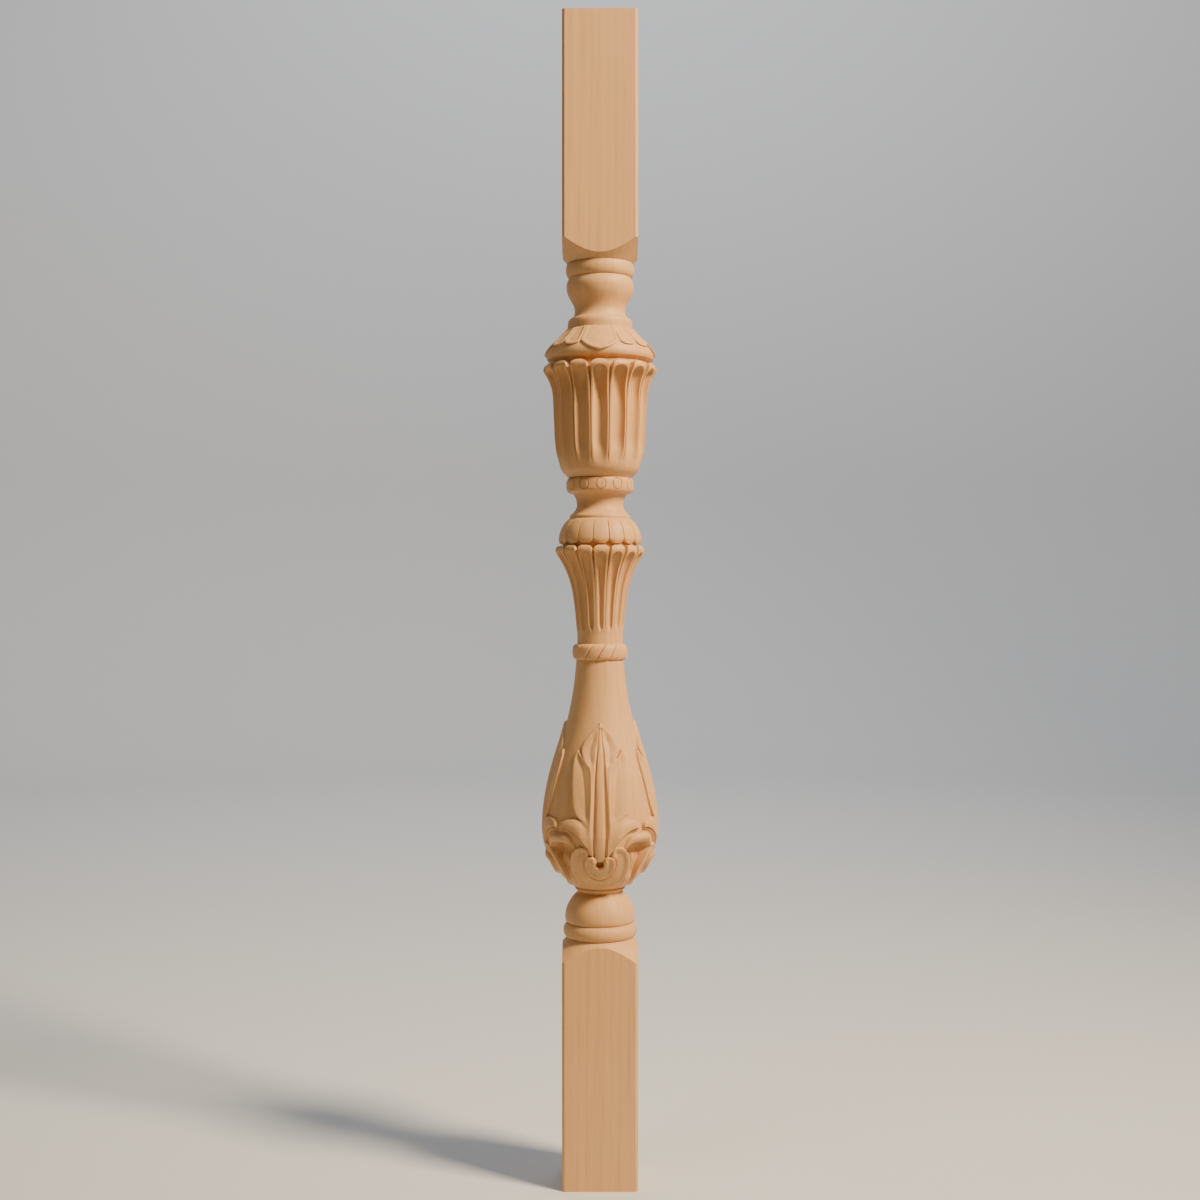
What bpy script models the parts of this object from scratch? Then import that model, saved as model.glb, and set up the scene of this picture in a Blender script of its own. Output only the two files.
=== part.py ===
"""Carved stair baluster, turned and carved from one length of square timber.

The piece is a stack of mouldings on the Z axis, standing on z = 0. Every
moulding is a list of rings round the axis, and each two neighbouring rings
are skinned with faces. Flutes, tongues, petals and rope strands are rings
whose radius or height changes with the angle. The leaves round the bulb are
a triangulated patch that follows their outlines.

Lengths are in metres. Angles are in degrees, from the front (-Y) towards +X.
A point of a ring is (angle, radius, height).
"""

import math

import bmesh
import bpy
from mathutils import Vector
from mathutils.geometry import delaunay_2d_cdt

# Directions of the four sides of the blocks. A main leaf and a wide petal face each.
SIDES = (0, 90, 180, 270)
HALF_SIDE_ANGLE = 45

# Whole length. The upper block takes up what the rest leaves of it.
TOTAL_HEIGHT = 0.900

# Square blocks at the two ends, with turned shoulders.
BLOCK_SIDE = 0.058
BLOCK_CHAMFER = 0.002
LOWER_BLOCK_LENGTH = 0.1739
LOWER_SHOULDER_HEIGHT = 0.0149
UPPER_SHOULDER_HEIGHT = 0.0155
ARC_STEPS = 5

# Ring and ball above the lower block.
LOWER_RING_HEIGHT = 0.0112
LOWER_RING_RADIUS = 0.0280
LOWER_RING_NECK = 0.0263
BALL_HEIGHT = 0.0239
BALL_RADIUS = 0.0271
BALL_NECK = 0.0260

# Bulb with leaves, and its plain neck.
BULB_HEIGHT = 0.1798
BULB_RADIUS = 0.0433
BULB_FOOT_RADIUS = 0.0169
BULB_NECK_RADIUS = 0.0184
BULB_BELLY_HEIGHT = 0.0471
LEAF_HEIGHT = 0.1317
LEAF_RELIEF = 0.0022
MIDRIB_GROOVE_DEPTH = 0.0013
MIDRIB_GROOVE_WIDTH = 0.0016
LOBE_VALLEY_DEPTH = 0.0012
LOBE_VALLEY_WIDTH = 0.0034
CURL_RELIEF = 0.0031
RIB_RELIEF = 0.0014
SHELL_RELIEF = 0.0020
SHELL_FACE_RELIEF = 0.0028
CARVED_EDGE_WIDTH = 0.0007
LEAF_TOP_MARGIN = 0.0020
LEAF_FOOT_MARGIN = 0.0026
SEAM_SNAP = 0.0004

# Rope ring.
ROPE_HEIGHT = 0.0125
ROPE_RADIUS = 0.0215
ROPE_STRANDS = 13
ROPE_CUT_DEPTH = 0.0016
ROPE_TWIST = 20.7
ROPE_PHASE = 15.6

# Trumpet with scooped flutes.
TRUMPET_HEIGHT = 0.0766
TRUMPET_LIP_RADIUS = 0.0346
TRUMPET_NECK_RADIUS = 0.01765
TRUMPET_FLUTES = 16
TRUMPET_FLUTE_DEPTH = 0.0034
TRUMPET_GROOVE_DEPTH = 0.0010
TRUMPET_PHASE = 1.8

# Collar of carved tongues.
COLLAR_HEIGHT = 0.0202
COLLAR_RADIUS = 0.0322
COLLAR_FOOT_RADIUS = 0.0298
COLLAR_TOP_RADIUS = 0.0241
COLLAR_TONGUES = 16
COLLAR_GROOVE_DEPTH = 0.0012
COLLAR_PHASE = 1.8

# Hollow neck between the collar and the ring of roundels.
SCOTIA_HEIGHT = 0.0194
SCOTIA_RADIUS = 0.0180
SCOTIA_LEDGE_RADIUS = 0.0235
SCOTIA_TOP_RADIUS = 0.0214

# Ring of roundels.
ROUNDEL_RING_HEIGHT = 0.0121
ROUNDEL_RING_RADIUS = 0.0260
ROUNDEL_COUNT = 12
ROUNDEL_PHASE = 1.5
ROUNDEL_RELIEF = 0.0009

# Cup with scooped flutes.
CUP_HEIGHT = 0.0882
CUP_LIP_RADIUS = 0.0441
CUP_FOOT_RADIUS = 0.0241
CUP_FLUTES = 16
CUP_FLUTE_DEPTH = 0.0042
CUP_GROOVE_DEPTH = 0.0012
CUP_PHASE = 0.0

# Dome of petals over the cup.
DOME_HEIGHT = 0.0272
DOME_RADIUS = 0.0416
DOME_FOOT_RADIUS = 0.0388
DOME_TOP_RADIUS = 0.0250
PETAL_RELIEF = 0.0015

# Rings and neck under the upper block.
DOME_RING_HEIGHT = 0.0086
DOME_RING_RADIUS = 0.0256
DOME_RING_TOP = 0.0226
OGEE_HEIGHT = 0.0313
OGEE_FOOT_RADIUS = 0.0218
OGEE_WAIST_RADIUS = 0.0196
OGEE_SHOULDER_RADIUS = 0.0262
OGEE_TOP_RADIUS = 0.0241
UPPER_RING_HEIGHT = 0.0110
UPPER_RING_RADIUS = 0.0266
UPPER_RING_NECK = 0.0257

PLAIN_COLUMNS = 32
BEAD_STEPS = 4
WELD_DISTANCE = 0.0001
SHARP_ANGLE = 32.0
WOOD_COLOR = (0.76, 0.52, 0.31, 1.0)
WOOD_ROUGHNESS = 0.55


def curve_value(knots, share):
    """Height of a smooth curve through (share, value) knots, at one share."""
    if share <= knots[0][0]:
        return knots[0][1]
    if share >= knots[-1][0]:
        return knots[-1][1]
    last = len(knots) - 1
    left = max(k for k in range(last) if knots[k][0] <= share)

    def slope(k):
        low, high = max(k - 1, 0), min(k + 1, last)
        return (knots[high][1] - knots[low][1]) / (knots[high][0] - knots[low][0])

    span = knots[left + 1][0] - knots[left][0]
    t = (share - knots[left][0]) / span
    hermite = (2 * t ** 3 - 3 * t ** 2 + 1, t ** 3 - 2 * t ** 2 + t, 3 * t ** 2 - 2 * t ** 3, t ** 3 - t ** 2)
    return (hermite[0] * knots[left][1] + hermite[1] * span * slope(left)
            + hermite[2] * knots[left + 1][1] + hermite[3] * span * slope(left + 1))


def mix(low, high, share):
    """Value at a share of the way from low to high."""
    return low + (high - low) * share


def circle(height, radius):
    """One plain round ring."""
    return [(360.0 * k / PLAIN_COLUMNS, radius, height) for k in range(PLAIN_COLUMNS)]


def repeated_ring(count, phase, pitch_points):
    """A ring of one pattern repeated round the axis.

    pitch_points are (share of the pitch from its middle, radius, height).
    """
    pitch = 360.0 / count
    return [(phase + pitch * (k + share), radius, height)
            for k in range(count) for share, radius, height in pitch_points]


def bead(base, height, foot, radius, top):
    """Rings of a convex moulding: two quarter ellipses that meet at half its height."""
    rings = []
    for step in range(BEAD_STEPS + 1):
        turn = math.pi * step / BEAD_STEPS
        end = foot if step < BEAD_STEPS / 2 else top
        rings.append(circle(base + height * (1 - math.cos(turn)) / 2, mix(end, radius, math.sin(turn))))
    return rings


def square_radius(angle):
    """Distance from the axis to a side of the square block, at an angle from that side's middle."""
    return BLOCK_SIDE / 2 / math.cos(math.radians(angle))


def block_corner_angle():
    """Angle from a side's middle to the edge where its corner chamfer starts."""
    return math.degrees(math.atan((BLOCK_SIDE / 2 - BLOCK_CHAMFER) / (BLOCK_SIDE / 2)))


def block_end_ring(height):
    """The eight corners of the chamfered square end."""
    corner = block_corner_angle()
    return [(side + sign * corner, square_radius(corner), height)
            for side in SIDES for sign in (-1, 1)]


def block_arc_ring(square_end, shoulder_rise, neck_radius):
    """The curved edge that the turned shoulder leaves on the four sides of the block.

    square_end is the height where the corners end, and shoulder_rise the
    signed height from there to the neck.
    """
    corner = block_corner_angle()
    corner_radius = square_radius(corner)
    slope = shoulder_rise / (corner_radius - neck_radius)
    ring = []
    for side in SIDES:
        for step in range(-ARC_STEPS, ARC_STEPS + 1):
            angle = corner * step / ARC_STEPS
            radius = square_radius(angle)
            ring.append((side + angle, radius, square_end + slope * (corner_radius - radius)))
    return ring


def bulb_ground(height):
    """Radius of the bulb's ground under the carving, at a height above its foot."""
    lower = ((0, 0), (0.045, 0.09), (0.16, 0.29), (0.26, 0.47), (0.41, 0.67), (0.61, 0.86), (0.81, 0.95),
             (1, 1))
    upper = ((0, 1), (0.11, 0.98), (0.21, 0.91), (0.32, 0.79), (0.42, 0.645), (0.53, 0.46), (0.63, 0.31),
             (0.72, 0.20), (0.86, 0.075), (1, 0))
    if height < BULB_BELLY_HEIGHT:
        return mix(BULB_FOOT_RADIUS, BULB_RADIUS, curve_value(lower, height / BULB_BELLY_HEIGHT))
    share = (height - BULB_BELLY_HEIGHT) / (BULB_HEIGHT - BULB_BELLY_HEIGHT)
    return mix(BULB_NECK_RADIUS, BULB_RADIUS, curve_value(upper, share))


def ball_rings(base):
    """Rings of the ball, a bead that closes in on the foot of the bulb."""
    closing = ((0.18, 1), (0.40, 0.945), (0.62, 0.745), (0.80, 0.49), (0.92, 0.23), (1, 0))
    return [circle(base, BALL_NECK)] + [
        circle(base + BALL_HEIGHT * share, mix(BULB_FOOT_RADIUS, BALL_RADIUS, swell))
        for share, swell in closing]


def rope_rings(base):
    """Rings of the rope ring, whose cuts climb round it."""
    section = ((0, 0, 0), (0.12, 0.8, 0.5), (0.5, 1, 1), (0.88, 0.8, 0.5), (1, 0, 0))
    rings = []
    for share, swell, cut in section:
        neck = BULB_NECK_RADIUS if share < 0.5 else TRUMPET_NECK_RADIUS
        ground = mix(neck, ROPE_RADIUS, swell)
        height = base + ROPE_HEIGHT * share
        pattern = ((-0.5, ground - ROPE_CUT_DEPTH * cut, height), (-0.37, ground, height),
                   (0, ground, height), (0.37, ground, height))
        rings.append(repeated_ring(ROPE_STRANDS, ROPE_PHASE + ROPE_TWIST * (share - 0.5), pattern))
    return rings


def fluted_rings(base, height, lip_radius, flutes, phase, depth, groove, rows, hood):
    """Rings of a fluted body, from where its flutes fade in at the foot to their hoods at the lip.

    Each row is (height share, radius share of the lip, depth share, groove
    share). Each flute is a scoop between two ridges, with a thin groove
    between the ridges of neighbours, and ends at the lip in a rounded hood.
    hood holds (radius share, height share) at the middle, shoulder and side.
    """
    scoop, ridge = 0.2, 0.42
    rings = []
    for height_share, radius_share, depth_share, groove_share in rows:
        level = base + height * height_share
        radius = lip_radius * radius_share
        bottom = radius - depth * depth_share
        pattern = ((-0.5, radius - groove * groove_share, level), (-ridge, radius, level),
                   (-scoop, bottom, level), (scoop, bottom, level), (ridge, radius, level))
        rings.append(repeated_ring(flutes, phase, pattern))
    middle, shoulder, side = [(lip_radius * r, base + height * h) for r, h in hood]
    pattern = ((-0.5, *side), (-ridge, *shoulder), (-scoop, *middle), (scoop, *middle), (ridge, *shoulder))
    rings.append(repeated_ring(flutes, phase, pattern))
    return rings


def trumpet_rings(base):
    """Rings of the trumpet."""
    rings = [circle(base + TRUMPET_HEIGHT * 0.09, TRUMPET_NECK_RADIUS)]
    rows = ((0.125, 0.520, 0, 0), (0.26, 0.551, 0.3, 0.6), (0.52, 0.635, 0.6, 1), (0.72, 0.763, 0.85, 1),
            (0.86, 0.912, 1, 1), (0.948, 1, 0, 1))
    hood = ((0.945, 0.995), (0.945, 0.985), (0.93, 0.965))
    rings += fluted_rings(base, TRUMPET_HEIGHT, TRUMPET_LIP_RADIUS, TRUMPET_FLUTES, TRUMPET_PHASE,
                          TRUMPET_FLUTE_DEPTH, TRUMPET_GROOVE_DEPTH, rows, hood)
    return rings


def collar_rings(base):
    """Rings of the collar of tongues, whose round tips hang over the trumpet's lip."""
    rings = [circle(base, COLLAR_FOOT_RADIUS)]
    rows = ((0.20, 1, 1), (0.52, 0.962, 1), (0.80, 0.872, 0.8))
    tips = ((-0.5, 0.13, 1), (-0.36, 0.07, 0), (0, 0.03, 0), (0.36, 0.07, 0))
    rings.append(repeated_ring(COLLAR_TONGUES, COLLAR_PHASE, [
        (share, COLLAR_RADIUS * 0.99 - COLLAR_GROOVE_DEPTH * cut, base + COLLAR_HEIGHT * rise)
        for share, rise, cut in tips]))
    for height_share, radius_share, cut in rows:
        level = base + COLLAR_HEIGHT * height_share
        radius = COLLAR_RADIUS * radius_share
        pattern = ((-0.5, radius - COLLAR_GROOVE_DEPTH * cut, level), (-0.36, radius, level),
                   (0, radius, level), (0.36, radius, level))
        rings.append(repeated_ring(COLLAR_TONGUES, COLLAR_PHASE, pattern))
    rings.append(circle(base + COLLAR_HEIGHT, COLLAR_TOP_RADIUS))
    return rings


def scotia_rings(base):
    """Rings of the hollow neck over the collar's ledge."""
    lower = ((0.0, 1), (0.115, 1), (0.19, 0.72), (0.33, 0.28), (0.55, 0))
    upper = ((0.80, 0.25), (1, 1))
    return [circle(base + SCOTIA_HEIGHT * share, mix(SCOTIA_RADIUS, SCOTIA_LEDGE_RADIUS, swell))
            for share, swell in lower] + [
        circle(base + SCOTIA_HEIGHT * share, mix(SCOTIA_RADIUS, SCOTIA_TOP_RADIUS, swell))
        for share, swell in upper]


def roundel_rings(base):
    """Rings of the bead with a low round boss at each roundel."""
    section = ((0, 0, 0), (0.14, 0.70, 0), (0.5, 1, 1), (0.86, 0.70, 0), (1, 0, 0))
    rings = []
    for share, swell, boss in section:
        neck = SCOTIA_TOP_RADIUS if share < 0.5 else CUP_FOOT_RADIUS
        radius = mix(neck, ROUNDEL_RING_RADIUS - ROUNDEL_RELIEF, swell)
        level = base + ROUNDEL_RING_HEIGHT * share
        pattern = ((-0.5, radius, level), (-0.27, radius, level),
                   (0, radius + ROUNDEL_RELIEF * boss, level), (0.27, radius, level))
        rings.append(repeated_ring(ROUNDEL_COUNT, ROUNDEL_PHASE, pattern))
    return rings


def cup_rings(base):
    """Rings of the cup."""
    foot = ((0, 0), (0.019, 0.23), (0.042, 0.52), (0.075, 0.79))
    rings = [circle(base + CUP_HEIGHT * share, mix(CUP_FOOT_RADIUS, CUP_LIP_RADIUS * 0.725, swell))
             for share, swell in foot]
    rows = ((0.14, 0.725, 0, 0), (0.22, 0.775, 0.35, 0.8), (0.36, 0.810, 0.65, 1), (0.765, 0.856, 1, 1),
            (0.88, 0.945, 1, 1), (0.949, 1, 0, 1))
    hood = ((0.955, 0.995), (0.955, 0.983), (0.94, 0.965))
    rings += fluted_rings(base, CUP_HEIGHT, CUP_LIP_RADIUS, CUP_FLUTES, CUP_PHASE,
                          CUP_FLUTE_DEPTH, CUP_GROOVE_DEPTH, rows, hood)
    return rings


def dome_face(share):
    """Radius of the petals' face at a share of the dome's height."""
    knots = ((0.1, 1), (0.24, 0.985), (0.34, 0.96), (0.43, 0.89), (0.52, 0.79), (0.61, 0.67), (0.69, 0.53),
             (0.78, 0.395), (0.86, 0.26), (0.95, 0.09), (1, 0))
    return mix(DOME_TOP_RADIUS, DOME_RADIUS, curve_value(knots, share))


def dome_rings(base):
    """Rings of the dome: a plain band, then the petals' edge, then their faces.

    A wide pointed petal stands over each side of the block, with two short
    round ones between it and the next.
    """
    edge = ((0, 0.228), (11.25, 0.333), (22.5, 0.535), (28.125, 0.445), (33.75, 0.423), (39.375, 0.445),
            (45, 0.56))
    quarter = [(-angle, share) for angle, share in edge[:0:-1]] + list(edge[:-1])
    columns = [(side + angle, share) for side in SIDES for angle, share in quarter]
    rings = [circle(base, DOME_FOOT_RADIUS), circle(base + DOME_HEIGHT * 0.065, DOME_FOOT_RADIUS),
             circle(base + DOME_HEIGHT * 0.125, DOME_RADIUS * 0.985)]
    for inset, relief in ((-0.02, 0), (0.005, 1), (0.3, 0.6), (0.62, 0.9), (0.94, 1)):
        ring = []
        for angle, tip in columns:
            share = tip + (1 - tip) * inset
            ring.append((angle, dome_face(share) - PETAL_RELIEF * (1 - relief), base + DOME_HEIGHT * share))
        rings.append(ring)
    rings.append(circle(base + DOME_HEIGHT, DOME_TOP_RADIUS))
    return rings


def ogee_rings(base):
    """Rings of the waisted neck."""
    lower = ((0.08, 0.28), (0.19, 0))
    upper = ((0.28, 0.08), (0.39, 0.31), (0.50, 0.61), (0.62, 0.87), (0.76, 1))
    rings = [circle(base, OGEE_FOOT_RADIUS)]
    rings += [circle(base + OGEE_HEIGHT * share, mix(OGEE_WAIST_RADIUS, OGEE_FOOT_RADIUS, swell))
              for share, swell in lower]
    rings += [circle(base + OGEE_HEIGHT * share, mix(OGEE_WAIST_RADIUS, OGEE_SHOULDER_RADIUS, swell))
              for share, swell in upper]
    rings += [circle(base + OGEE_HEIGHT * 0.9, mix(OGEE_TOP_RADIUS, OGEE_SHOULDER_RADIUS, 0.62)),
              circle(base + OGEE_HEIGHT, OGEE_TOP_RADIUS)]
    return rings


# Carving on the bulb. Its points are (degrees from a leaf's middle, share of the leaf's height).
LEAF_OUTLINE = ((0, 1.0), (6, 0.972), (13, 0.946), (21.5, 0.900), (24.5, 0.861), (22.8, 0.829), (18.2, 0.790),
                (24.8, 0.820), (30.4, 0.850), (33.2, 0.800), (32.3, 0.725), (31.0, 0.650), (29.3, 0.580),
                (27.4, 0.528), (23.4, 0.485), (16.5, 0.443), (22.0, 0.455), (30.0, 0.458), (36.5, 0.450),
                (41.5, 0.417), (37.5, 0.393), (29.0, 0.376), (22.3, 0.344), (15.5, 0.297), (9.8, 0.262),
                (6.3, 0.2285), (0, 0.2285))
INNER_RIDGE = ((10.6, 0.72), (9.6, 0.64), (9.4, 0.55), (10.0, 0.44))
LOBE_VALLEY = ((26.5, 0.782), (22.3, 0.742), (19.5, 0.692), (17.3, 0.630), (15.8, 0.555), (14.8, 0.485))
MIDRIB_GROOVE = ((2.5, 0.935), (4.7, 0.793), (5.6, 0.65), (6.3, 0.43), (6.3, 0.28))
CURL_OUTLINE = ((45, 0.377), (38, 0.376), (31.5, 0.358), (27.5, 0.327), (25.4, 0.293), (28.9, 0.289),
                (32.5, 0.309), (37.5, 0.319), (45, 0.322))
RIB_OUTLINE = ((45, 0.295), (41.8, 0.286), (41.8, 0.062), (45, 0.058))
SHELL_OUTLINE = ((0, 0.190), (3.6, 0.200), (5.2, 0.232), (9.3, 0.242), (14.0, 0.236), (13.3, 0.281),
                 (19.5, 0.300), (25.4, 0.293), (31.8, 0.246), (35.4, 0.195), (36.8, 0.150), (35.2, 0.104),
                 (28.5, 0.072), (15.0, 0.060), (0, 0.056))
SHELL_FACE_OUTLINE = ((0, 0.190), (3.6, 0.200), (5.2, 0.232), (9.3, 0.242), (14.0, 0.236), (17.0, 0.186),
                      (15.0, 0.146), (9.0, 0.116), (0, 0.106))
# Where the ground needs points of its own between the carvings.
LEAF_EDGE_SHARES = (0.93, 0.86, 0.79, 0.72, 0.65, 0.58, 0.51, 0.44, 0.37, 0.3285, 0.26, 0.15)
SIDE_EDGE_SHARES = (0.93, 0.86, 0.79, 0.70, 0.61, 0.53, 0.46, 0.42, 0.347, 0.23, 0.15)


def leaf_point(angle, share):
    """A carving point laid flat: arc length and height above the bulb's foot."""
    return (math.radians(angle) * BULB_RADIUS, share * LEAF_HEIGHT)


def edge_distance(point, start, end, stretch):
    """Distance from a flat point to a flat segment, with the arc direction scaled by stretch."""
    along = Vector(((end[0] - start[0]) * stretch, end[1] - start[1]))
    to_point = Vector(((point[0] - start[0]) * stretch, point[1] - start[1]))
    share = 0.0 if along.length == 0 else min(1.0, max(0.0, to_point.dot(along) / along.length_squared))
    return (to_point - along * share).length


def line_distance(point, line, stretch):
    """Distance from a flat point to an open line of flat points."""
    return min(edge_distance(point, line[k], line[k + 1], stretch) for k in range(len(line) - 1))


def inside(point, outline):
    """Whether a flat point lies inside a closed outline of flat points."""
    crossings = 0
    for k in range(len(outline)):
        (x0, y0), (x1, y1) = outline[k - 1], outline[k]
        if (y0 > point[1]) != (y1 > point[1]):
            crossings += point[0] < x0 + (x1 - x0) * (point[1] - y0) / (y1 - y0)
    return crossings % 2 == 1


def raised(point, outline, stretch):
    """Share of full relief at a flat point: 1 inside the outline, falling to 0 over the edge's width."""
    distance = line_distance(point, outline, stretch)
    if distance < WELD_DISTANCE or inside(point, outline):
        return 1.0
    return max(0.0, 1 - distance / CARVED_EDGE_WIDTH)


def leaf_relief(point, lines):
    """How far the carving stands over the bulb's ground at a flat point."""
    stretch = bulb_ground(point[1]) / BULB_RADIUS
    leaf = LEAF_RELIEF * raised(point, lines["leaf"], stretch)
    groove = max(0.0, 1 - line_distance(point, lines["groove"], stretch) / MIDRIB_GROOVE_WIDTH)
    valley = max(0.0, 1 - line_distance(point, lines["valley"], stretch) / LOBE_VALLEY_WIDTH)
    if leaf > 0:
        leaf -= max(MIDRIB_GROOVE_DEPTH * groove, LOBE_VALLEY_DEPTH * valley)
    curl = CURL_RELIEF * raised(point, lines["curl"], stretch)
    rib = RIB_RELIEF * raised(point, lines["rib"], stretch)
    shell = SHELL_RELIEF * raised(point, lines["shell"], stretch)
    face = SHELL_FACE_RELIEF * raised(point, lines["face"], stretch)
    return max(leaf, curl, rib, shell, face)


def offset_line(line, distance):
    """A flat line moved outwards, to the side away from the outline it bounds."""
    moved = []
    for k, point in enumerate(line):
        before = Vector(line[max(k - 1, 0)])
        after = Vector(line[min(k + 1, len(line) - 1)])
        along = (after - before).normalized()
        moved.append((point[0] + along[1] * -distance, point[1] + along[0] * distance))
    return moved


def leaf_patch(foot):
    """Triangles of half a leaf's width of the bulb: flat points with radii, and faces between them."""
    width = math.radians(HALF_SIDE_ANGLE) * BULB_RADIUS
    patch_top = LEAF_HEIGHT + LEAF_TOP_MARGIN
    lines = {name: [leaf_point(*p) for p in points] for name, points in (
        ("leaf", LEAF_OUTLINE), ("valley", LOBE_VALLEY), ("groove", MIDRIB_GROOVE), ("ridge", INNER_RIDGE),
        ("curl", CURL_OUTLINE), ("rib", RIB_OUTLINE), ("shell", SHELL_OUTLINE), ("face", SHELL_FACE_OUTLINE))}
    points, edges = [], []

    def snapped(x):
        return 0.0 if x < SEAM_SNAP else width if x > width - SEAM_SNAP else x

    def add(line, closed=False):
        first = len(points)
        points.extend(Vector((snapped(x), y)) for x, y in line)
        last = len(points) - 1
        edges.extend((k, k + 1) for k in range(first, last))
        if closed:
            edges.append((last, first))

    steps = PLAIN_COLUMNS // (2 * len(SIDES))
    foot_edge = [(width * k / steps, LEAF_FOOT_MARGIN) for k in range(steps + 1)]
    top_edge = [(width * k / steps, patch_top) for k in range(steps, -1, -1)]
    side_edge = [(width, share * LEAF_HEIGHT) for share in sorted(SIDE_EDGE_SHARES)]
    middle_edge = [(0.0, share * LEAF_HEIGHT) for share in sorted(LEAF_EDGE_SHARES, reverse=True)]
    add(foot_edge + side_edge + top_edge + middle_edge, closed=True)
    for name, line in lines.items():
        add(line)
        if name in ("leaf", "curl", "shell"):
            add(offset_line(line, CARVED_EDGE_WIDTH))
    flat, _, faces, _, _, _ = delaunay_2d_cdt(points, edges, [], 0, WELD_DISTANCE * 2)
    shaped = []
    for x, y in flat:
        angle = math.degrees(x / BULB_RADIUS)
        radius = bulb_ground(y)
        if LEAF_FOOT_MARGIN < y < patch_top:
            radius += leaf_relief((x, y), lines)
        shaped.append((angle, radius, foot + y))
    return shaped, faces


def place(angle, radius, height):
    """World position of a ring point."""
    turn = math.radians(angle)
    return (radius * math.sin(turn), -radius * math.cos(turn), height)


def add_ring(bm, ring):
    """Add a ring's vertices, in order of their angle, and return (angle, vertex) pairs."""
    ordered = sorted((angle % 360.0, radius, height) for angle, radius, height in ring)
    return [(point[0], bm.verts.new(place(*point))) for point in ordered]


def skin(bm, lower, upper):
    """Join two rings with faces, stepping round both by angle."""
    low_count, high_count = len(lower), len(upper)
    first = min(range(high_count), key=lambda k: abs((upper[k][0] - lower[0][0] + 180) % 360 - 180))
    start = upper[first][0]
    if start - lower[0][0] > 180:
        start -= 360

    def low(k):
        return lower[k % low_count][0] + 360 * (k // low_count), lower[k % low_count][1]

    def high(k):
        index = first + k
        angle = upper[index % high_count][0] + 360 * (index // high_count)
        return angle - upper[first][0] + start, upper[index % high_count][1]

    i = j = 0
    while i < low_count or j < high_count:
        low_next, high_next = low(i + 1)[0], high(j + 1)[0]
        together = abs(low_next - high_next) < 0.01 and i < low_count and j < high_count
        if together:
            bm.faces.new((low(i)[1], low(i + 1)[1], high(j + 1)[1], high(j)[1]))
            i += 1
            j += 1
        elif j >= high_count or (i < low_count and low_next < high_next):
            bm.faces.new((low(i)[1], low(i + 1)[1], high(j)[1]))
            i += 1
        else:
            bm.faces.new((low(i)[1], high(j + 1)[1], high(j)[1]))
            j += 1


def skin_block(bm, end_ring, arc_ring):
    """Close a block's four sides and four corner chamfers between its end and the shoulder's edge."""
    corner = block_corner_angle()
    ends = {round(angle, 3): vertex for angle, vertex in end_ring}
    arcs = {round(angle, 3): vertex for angle, vertex in arc_ring}
    for side in SIDES:
        steps = [round((side + corner * k / ARC_STEPS) % 360, 3) for k in range(-ARC_STEPS, ARC_STEPS + 1)]
        next_start = round((side + 90 - corner) % 360, 3)
        bm.faces.new([ends[steps[0]], ends[steps[-1]]] + [arcs[angle] for angle in reversed(steps)])
        bm.faces.new([ends[steps[-1]], ends[next_start], arcs[next_start], arcs[steps[-1]]])
    bm.faces.new([vertex for _, vertex in end_ring])


def skin_twisted(bm, lower, upper):
    """Join two rings of the same pattern point to point, following its twist."""
    count = len(lower)
    for k in range(count):
        after = (k + 1) % count
        bm.faces.new((lower[k], lower[after], upper[after], upper[k]))


def stack_skin(bm, rings):
    """Skin a whole stack of rings and return its first and last."""
    placed = [add_ring(bm, ring) for ring in rings]
    for lower, upper in zip(placed, placed[1:]):
        skin(bm, lower, upper)
    return placed[0], placed[-1]


def joined(*mouldings):
    """One stack from several mouldings: a ring that repeats the one below it is left out."""
    rings = []
    for moulding in mouldings:
        for ring in moulding:
            same = rings and all(abs(ring[0][k] - rings[-1][0][k]) < 1e-7 for k in (1, 2))
            round_rings = rings and len({point[1:] for point in ring + rings[-1]}) == 1
            if not (same and round_rings):
                rings.append(ring)
    return rings


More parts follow.
